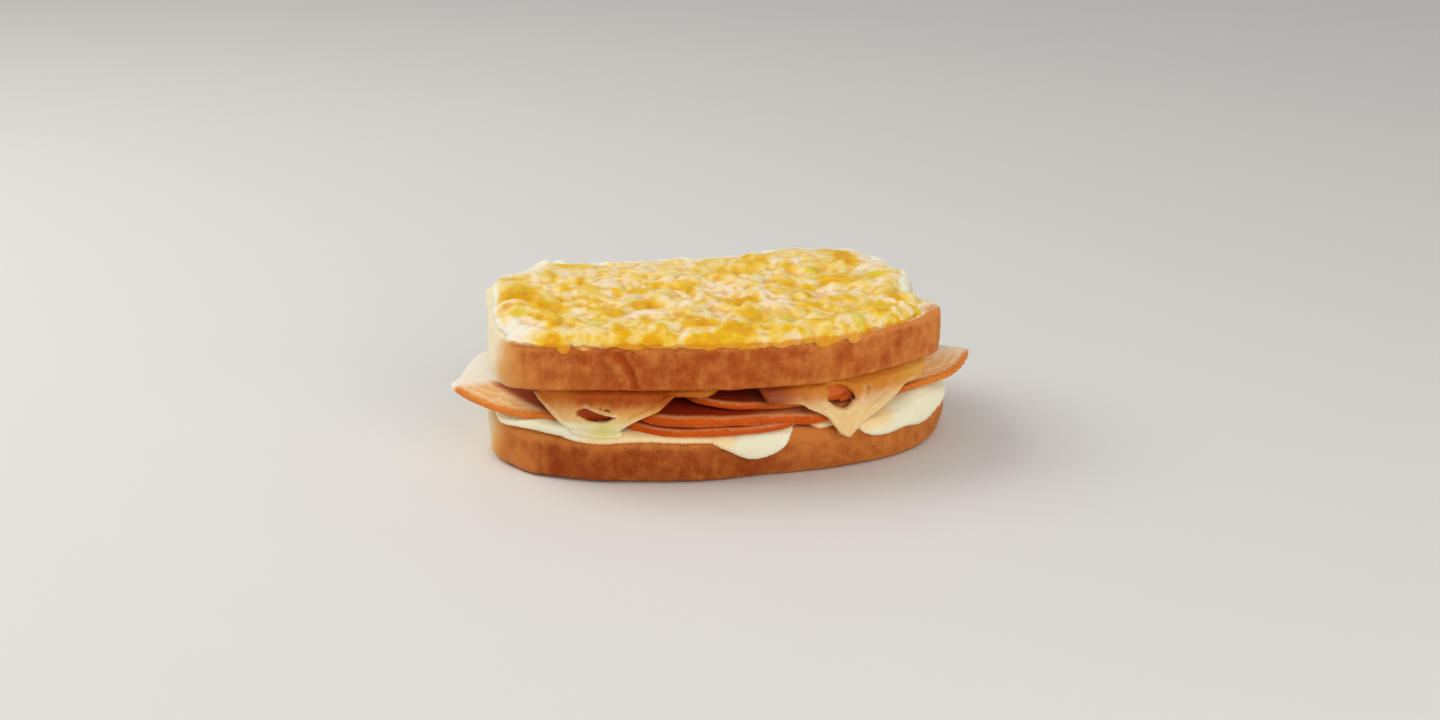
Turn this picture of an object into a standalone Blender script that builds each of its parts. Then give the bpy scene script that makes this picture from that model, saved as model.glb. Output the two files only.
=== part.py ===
"""A turkey and cheese toastie: two slices of a domed white loaf lying flat, with a pale cheese,
folded turkey and melted cheese between them, and grated cheese grilled on top.

The loaf's domed crust faces the front (-Y) and its flat base the back (+Y). The origin is the
centre of the bottom slice's underside. Lengths are in millimetres up to new_object, which
scales them to metres.
"""
import math
import random

import bmesh
import bpy
import numpy as np
from mathutils import Vector
from mathutils.geometry import delaunay_2d_cdt

MM = 0.001
UP = Vector((0, 0, 1))

# Heights of the stack, from the surface that the toastie lies on.
GAP = 0.4  # air kept between two layers
BOTTOM_BREAD = 13.4
PALE_CHEESE = 1.6
LOWER_TURKEY = (2.4, 1.7)  # a stacked slice's thickness at its left end and at its right
MIDDLE_TURKEY = (2.8, 2.5)
UPPER_TURKEY = 1.9
FOLDED_TURKEY = 2.2  # the slices at the ends
MELTED_CHEESE = 1.8
MELTED_ROOM = 3.1  # from the filling up to the top slice, for the melted cheese and its air
TOP_BREAD = 14.8
TURKEY_FLOOR = BOTTOM_BREAD + GAP + PALE_CHEESE + GAP
FILLING_TOP = 25.5
TOP_FLOOR = FILLING_TOP + MELTED_ROOM
TOP_FACE = TOP_FLOOR + TOP_BREAD

CRUST_EDGE = 2.0  # rounding of a slice's edges
UNDER_EDGE = 1.0  # the top slice's lower edge is crisper, pressed flat on the filling
CRUST_LEAN = 0.35  # the crust leans out by this much from mid-height to the upper face
CRUST_BELLY = 0.3  # and bulges by this much at mid-height

# Spacing of a sheet's points: fine where it shows, coarse inside the stack.
FRONT_FINE = 2.6
HIDDEN_COARSE = 9.0
CRUST_SPACING = 5.2
BEND_FINE = 1.7  # across a bend over an edge
BEND_ROWS = [-CRUST_EDGE + (CRUST_EDGE + GAP) * math.radians(turn) for turn in (0, 45, 90)]
ROW_RISE = 0.87  # rows of points are this share of their spacing apart, so triangles are even
CLEAR_SHARE = 0.62  # a point this share of the spacing from another, or nearer, is left out
SHOWS_BEFORE, SHOWS_LEFT, SHOWS_RIGHT = -27, -60, 54  # what lies past these y and x shows
BENDS_BEFORE = -22
STACK_LEFT, STACK_RIGHT = -28, 6  # the stacked slices thin between these x
FACING_FRONT = 0.12  # an edge whose normal leans this far to -Y belongs to the front


# Outlines ------------------------------------------------------------------------------------

def spline(knots, spacing):
    """Points about `spacing` apart along a closed Catmull-Rom curve through the knots."""
    knots = [np.array(knot, float) for knot in knots]
    count = len(knots)
    points = []
    for i in range(count):
        a, b, c, d = (knots[(i + k - 1) % count] for k in range(4))
        steps = max(1, round(np.linalg.norm(c - b) / spacing))
        for step in range(steps):
            t = step / steps
            points.append(0.5 * (2 * b + (c - a) * t + (2 * a - 5 * b + 4 * c - d) * t * t
                                 + (3 * b - a - 3 * c + d) * t ** 3))
    return np.array(points)


def outward(points):
    """Unit normals that point out of a counter-clockwise closed outline."""
    along = np.roll(points, -1, axis=0) - np.roll(points, 1, axis=0)
    normals = np.stack([along[:, 1], -along[:, 0]], axis=1)
    return normals / np.linalg.norm(normals, axis=1, keepdims=True)


class Outline:
    """A slice's edge seen from above, which other layers are placed by."""

    def __init__(self, knots, grow=0.0):
        points = spline(knots, 1.0)
        self.points = points + outward(points) * grow
        self.normals = outward(self.points)

    def nearest(self, x, y):
        """(distance out of the outline, the nearest point on it, its normal) for a point."""
        start = self.points
        run = np.roll(start, -1, axis=0) - start
        share = ((np.array([x, y]) - start) * run).sum(axis=1) / (run * run).sum(axis=1)
        feet = start + run * np.clip(share, 0, 1)[:, None]
        away = np.array([x, y]) - feet
        best = int(np.argmin((away * away).sum(axis=1)))
        share = float(np.clip(share[best], 0, 1))
        follow = (best + 1) % len(start)
        normal = self.normals[best] * (1 - share) + self.normals[follow] * share
        normal /= np.linalg.norm(normal)
        distance = math.copysign(np.linalg.norm(away[best]), float(away[best] @ normal))
        return distance, feet[best], normal

    def front(self, x, out):
        """The point `out` beyond the front edge, level with x."""
        near = [i for i in range(len(self.points)) if self.normals[i][1] < -FACING_FRONT]
        best = min(near, key=lambda i: abs(self.points[i][0] - x))
        return tuple(self.points[best] + self.normals[best] * out)


LOWER_SLICE = [
    (-70.6, 9), (-70.9, -1), (-69.4, -10.3), (-64.8, -21), (-57, -29.3), (-46.5, -36),
    (-31, -40), (-14.7, -42.6), (3, -42.7), (20, -40.4), (36, -36.2), (48.8, -30.5),
    (57.8, -23.4), (63.7, -14.8), (68.4, -4), (70.2, 4.5), (68.4, 12), (65.4, 19), (64.6, 28),
    (62, 38), (54, 43.2), (30, 43.2), (0, 42.6), (-30, 43), (-50, 43.2), (-59, 39),
    (-64.5, 30.5), (-68.3, 19),
]
UPPER_SLICE = [
    (-70, 4), (-70.6, -8), (-70.5, -20), (-68.6, -28.9), (-62.3, -34.4), (-50, -37.4),
    (-33, -41), (-15, -44.6), (3, -45.8), (20, -44.3), (34, -40), (47.3, -32.8), (57.6, -25.4),
    (63.2, -19.4), (62, -14), (58, -9.6), (58.8, -1), (60.9, 11), (60.7, 21), (58.3, 31),
    (54.5, 40.3), (46, 45.4), (34, 45.6), (18, 44.4), (-5, 43.8), (-30, 44), (-44, 45),
    (-51.5, 44.2), (-56.5, 39.5), (-61.8, 34), (-66.6, 27), (-68.9, 17),
]
# The wall that the melted cheese hangs from: the filling's own edge, seen from above.
HEAP = [
    (-60, 24), (-62, 0), (-61, -18), (-58, -26.5), (-52, -31), (-43, -34.6), (-32, -37.7),
    (-15, -40.8), (3, -41.6), (16, -40.9), (24, -40.5), (30, -39.7), (35, -37.6), (41, -34.2),
    (48, -30.6), (56, -24.5), (60, -16), (60, 5), (59, 25), (42, 43), (0, 43), (-42, 42),
]


# Solids --------------------------------------------------------------------------------------

def new_object(name, material, points, faces):
    """A smooth-shaded mesh object from points in millimetres."""
    mesh = bpy.data.meshes.new(name)
    mesh.from_pydata([Vector(point) * MM for point in points], [], faces)
    mesh.materials.append(material)
    shape = bmesh.new()
    shape.from_mesh(mesh)
    bmesh.ops.recalc_face_normals(shape, faces=shape.faces)
    shape.to_mesh(mesh)
    shape.free()
    mesh.shade_smooth()
    mesh.set_sharp_from_angle(angle=math.radians(50))
    part = bpy.data.objects.new(name, mesh)
    bpy.context.scene.collection.objects.link(part)
    return part


def crust_rings(floor, height, under_edge):
    """(z, inset) pairs up a slice's side: rounded below, leaning out, rounded above."""
    rings = []
    for step in range(4):
        turn = math.radians(30 * step)
        rings.append((floor + under_edge * (1 - math.cos(turn)),
                      under_edge * (1 - math.sin(turn)) + CRUST_LEAN * under_edge / CRUST_EDGE))
    rings.append((floor + height / 2, -CRUST_BELLY))
    for step in range(4):
        turn = math.radians(90 - 30 * step)
        rings.append((floor + height - CRUST_EDGE * (1 - math.cos(turn)),
                      CRUST_EDGE * (1 - math.sin(turn)) - CRUST_LEAN))
    return rings


def loaf_slice(name, material, knots, floor, height, under_edge=CRUST_EDGE):
    edge = spline(knots, CRUST_SPACING)
    normals = outward(edge)
    count = len(edge)
    points = []
    for z, inset in crust_rings(floor, height, under_edge):
        points += [(x, y, z) for x, y in edge - normals * inset]
    faces = [tuple(reversed(range(count)))]
    for low in range(0, len(points) - count, count):
        for i in range(count):
            j = (i + 1) % count
            faces.append((low + i, low + j, low + count + j, low + count + i))
    faces.append(tuple(range(len(points) - count, len(points))))
    return new_object(name, material, points, faces)


def inside(x, y, ring):
    """Whether a point lies within a closed ring, by counting the edges to its right."""
    after = np.roll(ring, -1, axis=0)
    crosses = (ring[:, 1] > y) != (after[:, 1] > y)
    rise = np.where(crosses, after[:, 1] - ring[:, 1], 1.0)
    at_x = ring[:, 0] + (y - ring[:, 1]) / rise * (after[:, 0] - ring[:, 0])
    return bool((crosses & (at_x > x)).sum() % 2)


def thinned(ring, spacing_at):
    """The ring's points, as far apart as the spacing wanted at each place."""
    kept = [ring[0]]
    for point in ring[1:]:
        if np.linalg.norm(point - kept[-1]) >= spacing_at(*point):
            kept.append(point)
    if np.linalg.norm(kept[0] - kept[-1]) < CLEAR_SHARE * spacing_at(*kept[-1]):
        kept.pop()
    return np.array(kept)


def filling_points(rings, spacing_at, spacings, outline=None):
    """Points inside the first ring and outside the others, on rows that follow a bend over the
    outline's edge and, away from it, on staggered rows."""
    edge = np.concatenate(rings)
    low, high = rings[0].min(axis=0), rings[0].max(axis=0)
    points = []
    for bend in BEND_ROWS if outline else ():
        for x, y in thinned(outline.points + outline.normals * bend, lambda x, y: FRONT_FINE):
            within = inside(x, y, rings[0]) and not any(inside(x, y, ring) for ring in rings[1:])
            if within and np.linalg.norm(edge - (x, y), axis=1).min() > 1.0:
                points.append((x, y))
    for spacing in spacings:
        for row, y in enumerate(np.arange(low[1], high[1], spacing * ROW_RISE)):
            for x in np.arange(low[0] + (row % 2) * spacing / 2, high[0], spacing):
                if spacing_at(x, y) != spacing or not inside(x, y, rings[0]):
                    continue
                if any(inside(x, y, ring) for ring in rings[1:]):
                    continue
                taken = np.concatenate([edge, points]) if points else edge
                if np.linalg.norm(taken - (x, y), axis=1).min() > CLEAR_SHARE * spacing:
                    points.append((x, y))
    return points


def triangles_within(rings, fill):
    """Triangles that cover the first ring less the others, by numbers into rings then fill."""
    flat = [tuple(point) for ring in rings for point in ring] + fill
    edges = []
    start = 0
    for ring in rings:
        edges += [(start + i, start + (i + 1) % len(ring)) for i in range(len(ring))]
        start += len(ring)
    verts, _, faces, origins, _, _ = delaunay_2d_cdt([Vector(p) for p in flat], edges, [], 0, 1e-6)
    number = [found[0] for found in origins]
    kept = []
    for face in faces:
        x, y = sum((verts[i] for i in face), Vector((0, 0))) / 3
        if inside(x, y, rings[0]) and not any(inside(x, y, ring) for ring in rings[1:]):
            kept.append(tuple(number[i] for i in face))
    return flat, kept


def laid_sheet(name, material, rings, lay, thickness, fill_over, fill_under):
    """A sheet cut to flat rings, whose under side follows lay(x, y) = (point, normal).

    The rim bulges between the two faces, round the outside and round each hole.
    """
    points, faces = [], []
    covers = []
    for fill, lift in ((fill_over, 1), (fill_under, 0)):
        flat, cover = triangles_within(rings, fill)
        start = len(points)
        for x, y in flat:
            foot, normal = lay(x, y)
            points.append(foot + normal * thickness(x, y) * lift)
        turned = (0, 1, 2) if lift else (0, 2, 1)
        faces += [tuple(start + face[k] for k in turned) for face in cover]
        covers.append(start)
    first = 0
    for ring in rings:
        count = len(ring)
        middle = len(points)
        sides = outward(ring)
        for (x, y), side in zip(ring, sides):
            bulge = 0.3 * thickness(x, y)
            foot, normal = lay(x + side[0] * bulge, y + side[1] * bulge)
            points.append(foot + normal * thickness(x, y) * 0.5)
        for i in range(count):
            j = (i + 1) % count
            over_i, over_j = covers[0] + first + i, covers[0] + first + j
            under_i, under_j = covers[1] + first + i, covers[1] + first + j
            faces.append((middle + i, middle + j, over_j, over_i))
            faces.append((under_i, under_j, middle + j, middle + i))
        first += count
    return new_object(name, material, points, faces)


# How a sheet lies ----------------------------------------------------------------------------

def draped_over(outline, top, edge=CRUST_EDGE):
    """Lays a sheet on a flat top, bends it over the rounded edge and hangs the rest down."""
    reach = edge + GAP

    def lay(x, y):
        out, foot, normal = outline.nearest(x, y)
        if out <= -edge:
            return Vector((x, y, top + GAP)), UP
        length = out + edge
        turn = min(length / reach, math.pi / 2)
        hang = length - reach * turn
        side = Vector((normal[0], normal[1], 0))
        centre = Vector((foot[0], foot[1], top - edge)) - side * edge
        across = side * math.sin(turn) + UP * math.cos(turn)
        return centre + across * reach - UP * hang, across

    return lay


def bent_through(places):
    """Lays a sheet as a thin plate bent through (x, y, height) places."""
    places = np.array(places, float)
    count = len(places)

    def spring(distance):
        return np.where(distance > 0, distance ** 2 * np.log(np.maximum(distance, 1e-9)), 0.0)

    apart = np.linalg.norm(places[:, None, :2] - places[None, :, :2], axis=2)
    plane = np.column_stack([np.ones(count), places[:, :2]])
    system = np.block([[spring(apart), plane], [plane.T, np.zeros((3, 3))]])
    weights = np.linalg.solve(system, np.concatenate([places[:, 2], np.zeros(3)]))

    def height(x, y):
        pull = spring(np.linalg.norm(places[:, :2] - (x, y), axis=1))
        return float(weights[:count] @ pull + weights[count:] @ (1.0, x, y))

    def lay(x, y):
        z = height(x, y)
        slope = Vector((z - height(x + 0.5, y), z - height(x, y + 0.5), 0.5))
        return Vector((x, y, z)), slope.normalized()

    return lay


def even(thickness):
    return lambda x, y: thickness


def across_stack(ends):
    """A thickness that goes from the first of the ends at the left to the second at the right."""
    return lambda x, y: float(np.interp(x, (STACK_LEFT, STACK_RIGHT), ends))


# Layers --------------------------------------------------------------------------------------

def near_edges(x, y):
    """Point spacing of a filling: fine where it shows, coarse inside the stack."""
    shows = y < SHOWS_BEFORE or x < SHOWS_LEFT or x > SHOWS_RIGHT
    return FRONT_FINE if shows else HIDDEN_COARSE


def near_bend(outline):
    """Point spacing along a rim: finer still where it crosses the bend over an edge."""
    def spacing(x, y):
        bends = BEND_ROWS[0] - 1 < outline.nearest(x, y)[0] < BEND_ROWS[-1] + 1
        return BEND_FINE if bends and y < BENDS_BEFORE else near_edges(x, y)

    return spacing


def sheet(name, material, knots, lay, thickness, outline=None, holes=()):
    """A sheet cut to the knots. One that hangs over an outline has points along the bend."""
    rim_spacing = near_bend(outline) if outline else near_edges
    rings = [thinned(spline(knots, 0.4), rim_spacing)]
    rings += [thinned(spline(hole, 0.4), lambda x, y: BEND_FINE)[::-1] for hole in holes]
    fill = filling_points(rings, near_edges, (HIDDEN_COARSE, FRONT_FINE), outline)
    return laid_sheet(name, material, rings, lay, thickness, fill, fill)


def pale_cheeses(material):
    """Two cheese slices side by side, whose corners hang over the front crust."""
    edge = Outline(LOWER_SLICE, CRUST_LEAN)
    lay = draped_over(edge, BOTTOM_BREAD)
    left_overhang = [(-66.6, -2.2), (-63, -1.0), (-58, -0.4), (-50, 0.0), (-43, 0.3),
                     (-37, -0.1), (-29, -0.3), (-21, 0.1), (-12, 0.3), (-8.4, 1.4), (-5.1, 3.2),
                     (-1.5, 4.9), (2.5, 5.4), (5.2, 5.0), (8, 3.8), (9.8, 2.4), (11.4, 0.7),
                     (12.8, -1.6)]
    left = [edge.front(x, out) for x, out in left_overhang]
    left += [(14.6, -37), (14.8, -20), (14.8, 22), (13, 40), (-20, 41.5), (-50, 41), (-61, 33),
             (-66.5, 18), (-69, 4), (-69, -6)]
    sheet("cheese_lower_left", material, left, lay, even(PALE_CHEESE), edge)
    right_overhang = [(17.6, -4), (19.2, -1.8), (21.5, -1.1), (24, -1.2), (28, -2.2),
                      (31.4, -0.9), (34, 1.3), (36.5, 2.6), (39, 3.4), (41.6, 3.8), (45.2, 3.4),
                      (49.3, 3.0), (52, 3.2), (54.6, 3.8), (57.4, 3.2), (60.4, 2.0), (63.4, 1.2)]
    right = [edge.front(x, out) for x, out in right_overhang]
    right += [(68.6, -1.5), (68, 6), (63, 19), (62, 31), (53, 40), (30, 41.5), (18, 40),
              (17.2, 22), (17.2, -20)]
    sheet("cheese_lower_right", material, right, lay, even(PALE_CHEESE), edge)


def turkey_stack(material):
    """Three turkey slices one on the other in the middle, rims forward."""
    lower = [(-37.5, -31), (-35.5, -34), (-32, -36.4), (-28, -39.2), (-20, -42.4), (-8, -44.3),
             (3, -44.4), (9, -43.6), (12.4, -41.8), (14.2, -37.6), (18, -34), (26, -31),
             (31, -22), (32, 0), (31, 26), (26, 39.5), (0, 41.6), (-28, 41), (-37, 31),
             (-39, 0), (-38.5, -22)]
    floor = TURKEY_FLOOR + 0.1
    lower_lay = bent_through([
        (-37, -30, floor + 0.5), (-30, -37.5, floor + 0.3), (-20, -42, floor),
        (-8, -44.2, floor - 0.2), (3, -44.2, floor - 0.2), (12, -41, floor),
        (-20, -30, floor + 0.1), (4, -32, floor + 0.1), (28, -26, floor + 0.1),
        (-37, 20, floor + 0.2), (30, 20, floor + 0.1),
    ])
    sheet("turkey_lower", material, lower, lower_lay, across_stack(LOWER_TURKEY))
    middle = [(-34.5, -31.5), (-31.5, -34.4), (-27, -38.2), (-19, -41.6), (-8, -43.4),
              (3, -43.6), (12, -42.4), (18, -40.8), (24, -39.0), (29, -37.2), (32, -33),
              (32.2, -22), (32, 2), (30, 24), (24, 37.5), (2, 40.4), (-26, 39.4),
              (-36, 28), (-38, 2), (-36.5, -22)]
    left, right = (floor + thickness + GAP for thickness in LOWER_TURKEY)
    middle_lay = bent_through([
        (-34, -31, left + 0.5), (-27, -38, left + 0.4), (-19, -41.5, left + 0.1),
        (-8, -43.4, (left + right) / 2), (3, -43.6, right), (12, -42.4, right - 0.1),
        (20, -40, right - 0.4), (29, -37, right - 0.4), (-20, -30, left + 0.2),
        (4, -30, right + 0.1), (28, -24, right + 0.1), (-36, 20, left + 0.2),
        (28, 20, right + 0.1), (0, 20, (left + right) / 2 + 0.1),
    ])
    sheet("turkey_middle", material, middle, middle_lay, across_stack(MIDDLE_TURKEY))
    upper = [(-17.5, -31), (-16, -35.5), (-11, -38.6), (-3, -40.2), (8, -40.8), (17, -40.0),
             (25, -38.8), (30, -37.0), (32.4, -32.5), (32, -22), (30, 4), (25, 30), (4, 39),
             (-20, 37), (-30, 24), (-28, 0), (-22, -20)]
    flat = right + MIDDLE_TURKEY[1] + GAP + 0.1
    high = left + MIDDLE_TURKEY[0] + GAP + 0.4
    upper_lay = bent_through([
        (-17.5, -35, high + 1.3), (-13, -37.4, high + 0.4), (-6, -39.6, flat + 0.5),
        (4, -40.6, flat), (12, -40.4, flat), (20, -39.4, flat + 0.3), (28, -37.6, flat + 1.1),
        (-17, -26, high + 0.6), (-6, -26, flat + 0.7), (28, -24, flat + 0.9),
        (10, -26, flat + 0.2), (30, 10, flat + 0.2), (0, 0, flat + 0.6), (-28, 0, high),
        (-24, 30, high), (24, 30, flat + 0.2),
    ])
    sheet("turkey_upper", material, upper, upper_lay, even(UPPER_TURKEY))


def turkey_ends(material):
    """Two folded slices that stick out past the bread, one at each end."""
    left = [(-82.3, 1.2), (-80.3, -3), (-76.4, -8.6), (-72.3, -12.8), (-67, -18.2),
            (-61.6, -22.4), (-53, -28.4), (-46, -31), (-42, -28), (-40.6, -18), (-40.6, 10),
            (-41, 36), (-52, 38), (-61, 31), (-68, 22.5), (-72.6, 18.6), (-75.8, 13.4),
            (-77.6, 8.4), (-79.6, 3.6)]
    low = TURKEY_FLOOR - 0.1
    left_lay = bent_through([
        (-82.3, 1.2, low + 3.6), (-76.4, -8.6, low + 1.6), (-67, -18.2, low + 0.35),
        (-61.6, -22.4, low + 0.25), (-53, -28.4, low + 0.3), (-45, -30, low + 0.4),
        (-42, -20, low + 1.6), (-56, -12, low + 3.4), (-66, 2, low + 4.8), (-75, 12, low + 5.0),
        (-71, 18, low + 6.2), (-50, 8, low + 6.0), (-41, 10, low + 5.4), (-58, 28, low + 6.6),
        (-42, 32, low + 4.4),
    ])
    sheet("turkey_left", material, left, left_lay, even(FOLDED_TURKEY))
    right = [(76.8, -4.6), (74.6, -9.6), (71, -15), (66.9, -18.8), (63, -20.6), (58, -22.9),
             (49.5, -26.4), (43.6, -31), (39.4, -33), (35.4, -31), (33.6, -22), (33.6, 0),
             (34, 34), (46, 39), (56, 31), (59, 16), (60.5, 6), (64.5, -1.5), (71, -3.4)]
    right_lay = bent_through([
        (76.8, -4.6, low + 6.6), (71, -15, low + 5.0), (66.9, -18.8, low + 4.0),
        (58, -22.9, low + 2.8), (49.5, -26.4, low + 2.2), (43.6, -31, low + 1.2),
        (39.4, -33, low + 0.5), (34.5, -26, low + 2.4), (34, 0, low + 4.6), (48, -8, low + 6.2),
        (60, -6, low + 7.0), (69, -5, low + 7.4), (56, 20, low + 6.2), (40, 32, low + 3.8),
    ])
    sheet("turkey_right", material, right, right_lay, even(FOLDED_TURKEY))


def melted_cheese(material):
    """The melted slice under the top bread, which runs down the filling in two curtains."""
    edge = Outline(HEAP)
    drop = [(-58.6, -0.4), (-57.4, 1.2), (-56, 3.0), (-54.3, 5.5), (-52.8, 7.4), (-50.5, 8.8),
            (-46, 9.1), (-40, 9.1), (-37, 8.2), (-35.2, 7.3), (-33, 5.5), (-30.3, 4.3),
            (-27.6, 3.3), (-26, 1.9), (-24.8, 0.5), (-23, -0.6), (-20, -0.8), (-16.5, -0.7),
            (-12, -0.7)]
    right_drop = [(4.6, 0.5), (6.4, 1.8), (10, 2.2), (14.3, 2.5), (16.8, 3.0), (18.6, 4.2),
                  (20.4, 5.6), (22.7, 6.8), (24.6, 8.3), (26, 10.7), (27.4, 12.8), (29.6, 14.2),
                  (31.2, 12.8), (32, 11.2), (33.2, 9.9), (35.4, 8.5), (38.4, 7.4), (41, 6.2),
                  (44, 4.7), (48, 3.2), (52, 2.6), (56.5, 0.8)]
    knots = [edge.front(x, out) for x, out in drop]
    knots += [(-8.6, -37.5), (-7, -30), (-3, -26), (0.6, -26.5), (2.6, -31), (3.4, -36.5)]
    knots += [edge.front(x, out) for x, out in right_drop]
    knots += [(57.5, -14), (56.5, 4), (56, 20), (51, 36), (34, 40.6), (0, 41), (-30, 40.4),
              (-48, 37), (-57, 22), (-58.5, 0), (-57.5, -18)]
    left_hole = [edge.front(x, out) for x, out in
                 [(-49.2, 3.9), (-46.4, 5.4), (-42.1, 5.8), (-38.8, 4.1), (-41.6, 2.6),
                  (-46, 2.2)]]
    right_hole = [edge.front(x, out) for x, out in
                  [(22.4, -0.6), (25.2, 2.5), (29.0, 4.6), (31.6, 2.9), (30.2, 0.1), (26.4, -1.4)]]
    sheet("cheese_melted", material, knots, draped_over(edge, FILLING_TOP), even(MELTED_CHEESE),
          edge, (left_hole, right_hole))


RIM_SHARE = 0.35  # the topping thins to this share of its height at its rim
RIM_WIDTH = 4.5
CALM_SHARE = 0.35  # its lumps flatten to this share of their rise towards the back
CALM_FROM, CALM_TO = 12, 38
KNOB, KNOB_WIDTH, KNOB_RISE = (-49.4, 40.8), 3.6, 1.7  # a lump on the back left corner


class Shreds:
    """Grated cheese melted into a lumpy crust: its thickness at any place on the bread."""

    BASE = 1.0
    COUNT = 330
    LENGTH = (5.0, 13.0)
    HALF_WIDTH = (1.7, 2.6)
    RISE = (0.7, 2.3)

    def __init__(self, seed):
        draw = random.Random(seed)
        rows = []
        for _ in range(self.COUNT):
            turn = draw.gauss(0.15, 0.75)
            half = draw.uniform(*self.LENGTH) / 2
            rows.append((draw.uniform(-69, 57), draw.uniform(-47, 42), math.cos(turn) * half,
                         math.sin(turn) * half, draw.uniform(*self.HALF_WIDTH),
                         draw.uniform(*self.RISE)))
        self.middle = np.array([row[:2] for row in rows])
        self.half = np.array([row[2:4] for row in rows])
        self.width = np.array([row[4] for row in rows])
        self.rise = np.array([row[5] for row in rows])

    def thickness(self, x, y):
        away = np.array([x, y]) - self.middle
        along = np.clip((away * self.half).sum(axis=1) / (self.half ** 2).sum(axis=1), -1, 1)
        beside = np.linalg.norm(away - self.half * along[:, None], axis=1) / self.width
        lump = float((self.rise * np.sqrt(np.maximum(1 - beside ** 2, 0))).max())
        calm = np.interp(y, (CALM_FROM, CALM_TO), (1.0, CALM_SHARE))
        return self.BASE + lump * float(calm)


def grated_topping(material):
    """The grilled cheese on the top slice, uneven in height and curling over the front crust."""
    edge = Outline(UPPER_SLICE, CRUST_LEAN)
    overhang = [(-66.4, -1.2), (-60, 0.2), (-53, 1.0), (-49.5, 2.0), (-47, 3.4), (-44.5, 2.2),
                (-40, 1.0), (-32, 1.8), (-24, 1.1), (-16, 2.4), (-8, 1.6), (0, 2.4), (8, 2.8),
                (15, 1.9), (22, 2.4), (28, 1.4), (34, 0.6), (40, 0.2), (46, 0.4),
                (51.5, -0.2)]
    knots = [edge.front(x, out) for x, out in overhang]
    knots += [(56.6, -24.8), (60.4, -20.6), (60.2, -15.6), (58.4, -12.4), (55.5, -9.4),
              (56.2, -1), (58.4, 10.5), (58.2, 20.5), (55.8, 30), (52, 38.6), (45, 43),
              (33.6, 43.2), (18, 42), (-5, 41.4), (-30, 41.6), (-43, 42.6), (-50, 41.6),
              (-54.5, 37.2), (-59.8, 31.8), (-64.5, 25), (-66.4, 15), (-67, 4), (-67.2, -8),
              (-67.6, -20)]
    shreds = Shreds(seed=7)
    ring = thinned(spline(knots, 0.4), lambda x, y: FRONT_FINE)
    over = filling_points([ring], lambda x, y: FRONT_FINE, (FRONT_FINE,), edge)
    under = filling_points([ring], lambda x, y: HIDDEN_COARSE, (HIDDEN_COARSE,), edge)

    def thickness(x, y):
        depth = np.linalg.norm(ring - (x, y), axis=1).min()
        from_knob = math.dist((x, y), KNOB) / KNOB_WIDTH
        knob = KNOB_RISE * max(0.0, 1 - from_knob ** 2)
        return shreds.thickness(x, y) * min(1.0, RIM_SHARE + depth / RIM_WIDTH) + knob

    laid_sheet("cheese_topping", material, [ring], draped_over(edge, TOP_FACE), thickness, over,
               under)


# Materials -----------------------------------------------------------------------------------

def food(name, colour, roughness):
    """A plain non-metal finish from an sRGB colour in 0 to 255."""
    material = bpy.data.materials.new(name)
    material.use_nodes = True
    shader = material.node_tree.nodes["Principled BSDF"]
    linear = [((c / 255 + 0.055) / 1.055) ** 2.4 for c in colour]
    shader.inputs["Base Color"].default_value = (*linear, 1)
    shader.inputs["Roughness"].default_value = roughness
    shader.inputs["Metallic"].default_value = 0.0
    return material


def clear_scene():
    for thing in list(bpy.data.objects):
        bpy.data.objects.remove(thing, do_unlink=True)


def main():
    clear_scene()
    loaf_slice("bread_bottom", food("crust_lower", (176, 98, 46), 0.7), LOWER_SLICE, 0,
               BOTTOM_BREAD)
    pale_cheeses(food("pale_cheese", (232, 224, 190), 0.4))
    turkey = food("turkey", (206, 128, 84), 0.45)
    turkey_stack(turkey)
    turkey_ends(turkey)
    melted_cheese(food("melted_cheese", (226, 180, 112), 0.35))
    loaf_slice("bread_top", food("crust_upper", (190, 104, 50), 0.7), UPPER_SLICE, TOP_FLOOR,
               TOP_BREAD, UNDER_EDGE)
    grated_topping(food("grilled_cheese", (238, 200, 110), 0.4))


main()
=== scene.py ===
# %% [markdown]
# # Dressing a turkey and cheese toastie
#
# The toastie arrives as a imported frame: eleven plain solids that already have the right outline,
# thickness and place. This file gives each of them the surface of the real food. Every piece
# follows the same road: the solid's mesh is wrapped in one fine skin (a voxel remesh), softened,
# and pushed in and out by small amounts that belong to that food. Numbers such as "how baked" are
# stored on its points, and the material reads them. Lengths are in millimetres here and become
# metres where a mesh is made.

import math
import random

import bmesh
import bpy
import numpy as np
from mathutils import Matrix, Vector, noise
from mathutils.bvhtree import BVHTree
from mathutils.kdtree import KDTree


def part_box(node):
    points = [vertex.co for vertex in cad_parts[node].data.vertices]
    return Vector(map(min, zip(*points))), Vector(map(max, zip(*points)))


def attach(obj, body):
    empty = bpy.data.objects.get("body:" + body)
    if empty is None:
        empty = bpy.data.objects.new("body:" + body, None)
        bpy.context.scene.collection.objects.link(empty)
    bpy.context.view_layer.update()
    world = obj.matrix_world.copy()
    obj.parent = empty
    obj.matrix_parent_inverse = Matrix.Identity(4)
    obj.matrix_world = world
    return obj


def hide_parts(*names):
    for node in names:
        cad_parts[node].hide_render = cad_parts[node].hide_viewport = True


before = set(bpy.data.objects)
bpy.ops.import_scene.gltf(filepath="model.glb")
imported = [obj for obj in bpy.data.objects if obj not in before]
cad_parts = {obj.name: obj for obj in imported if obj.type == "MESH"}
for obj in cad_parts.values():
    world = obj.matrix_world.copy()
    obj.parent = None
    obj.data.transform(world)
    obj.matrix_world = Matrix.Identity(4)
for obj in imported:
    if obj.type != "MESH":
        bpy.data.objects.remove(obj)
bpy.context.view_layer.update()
MM = 0.001
print("solids:", ", ".join(sorted(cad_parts)))

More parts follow.
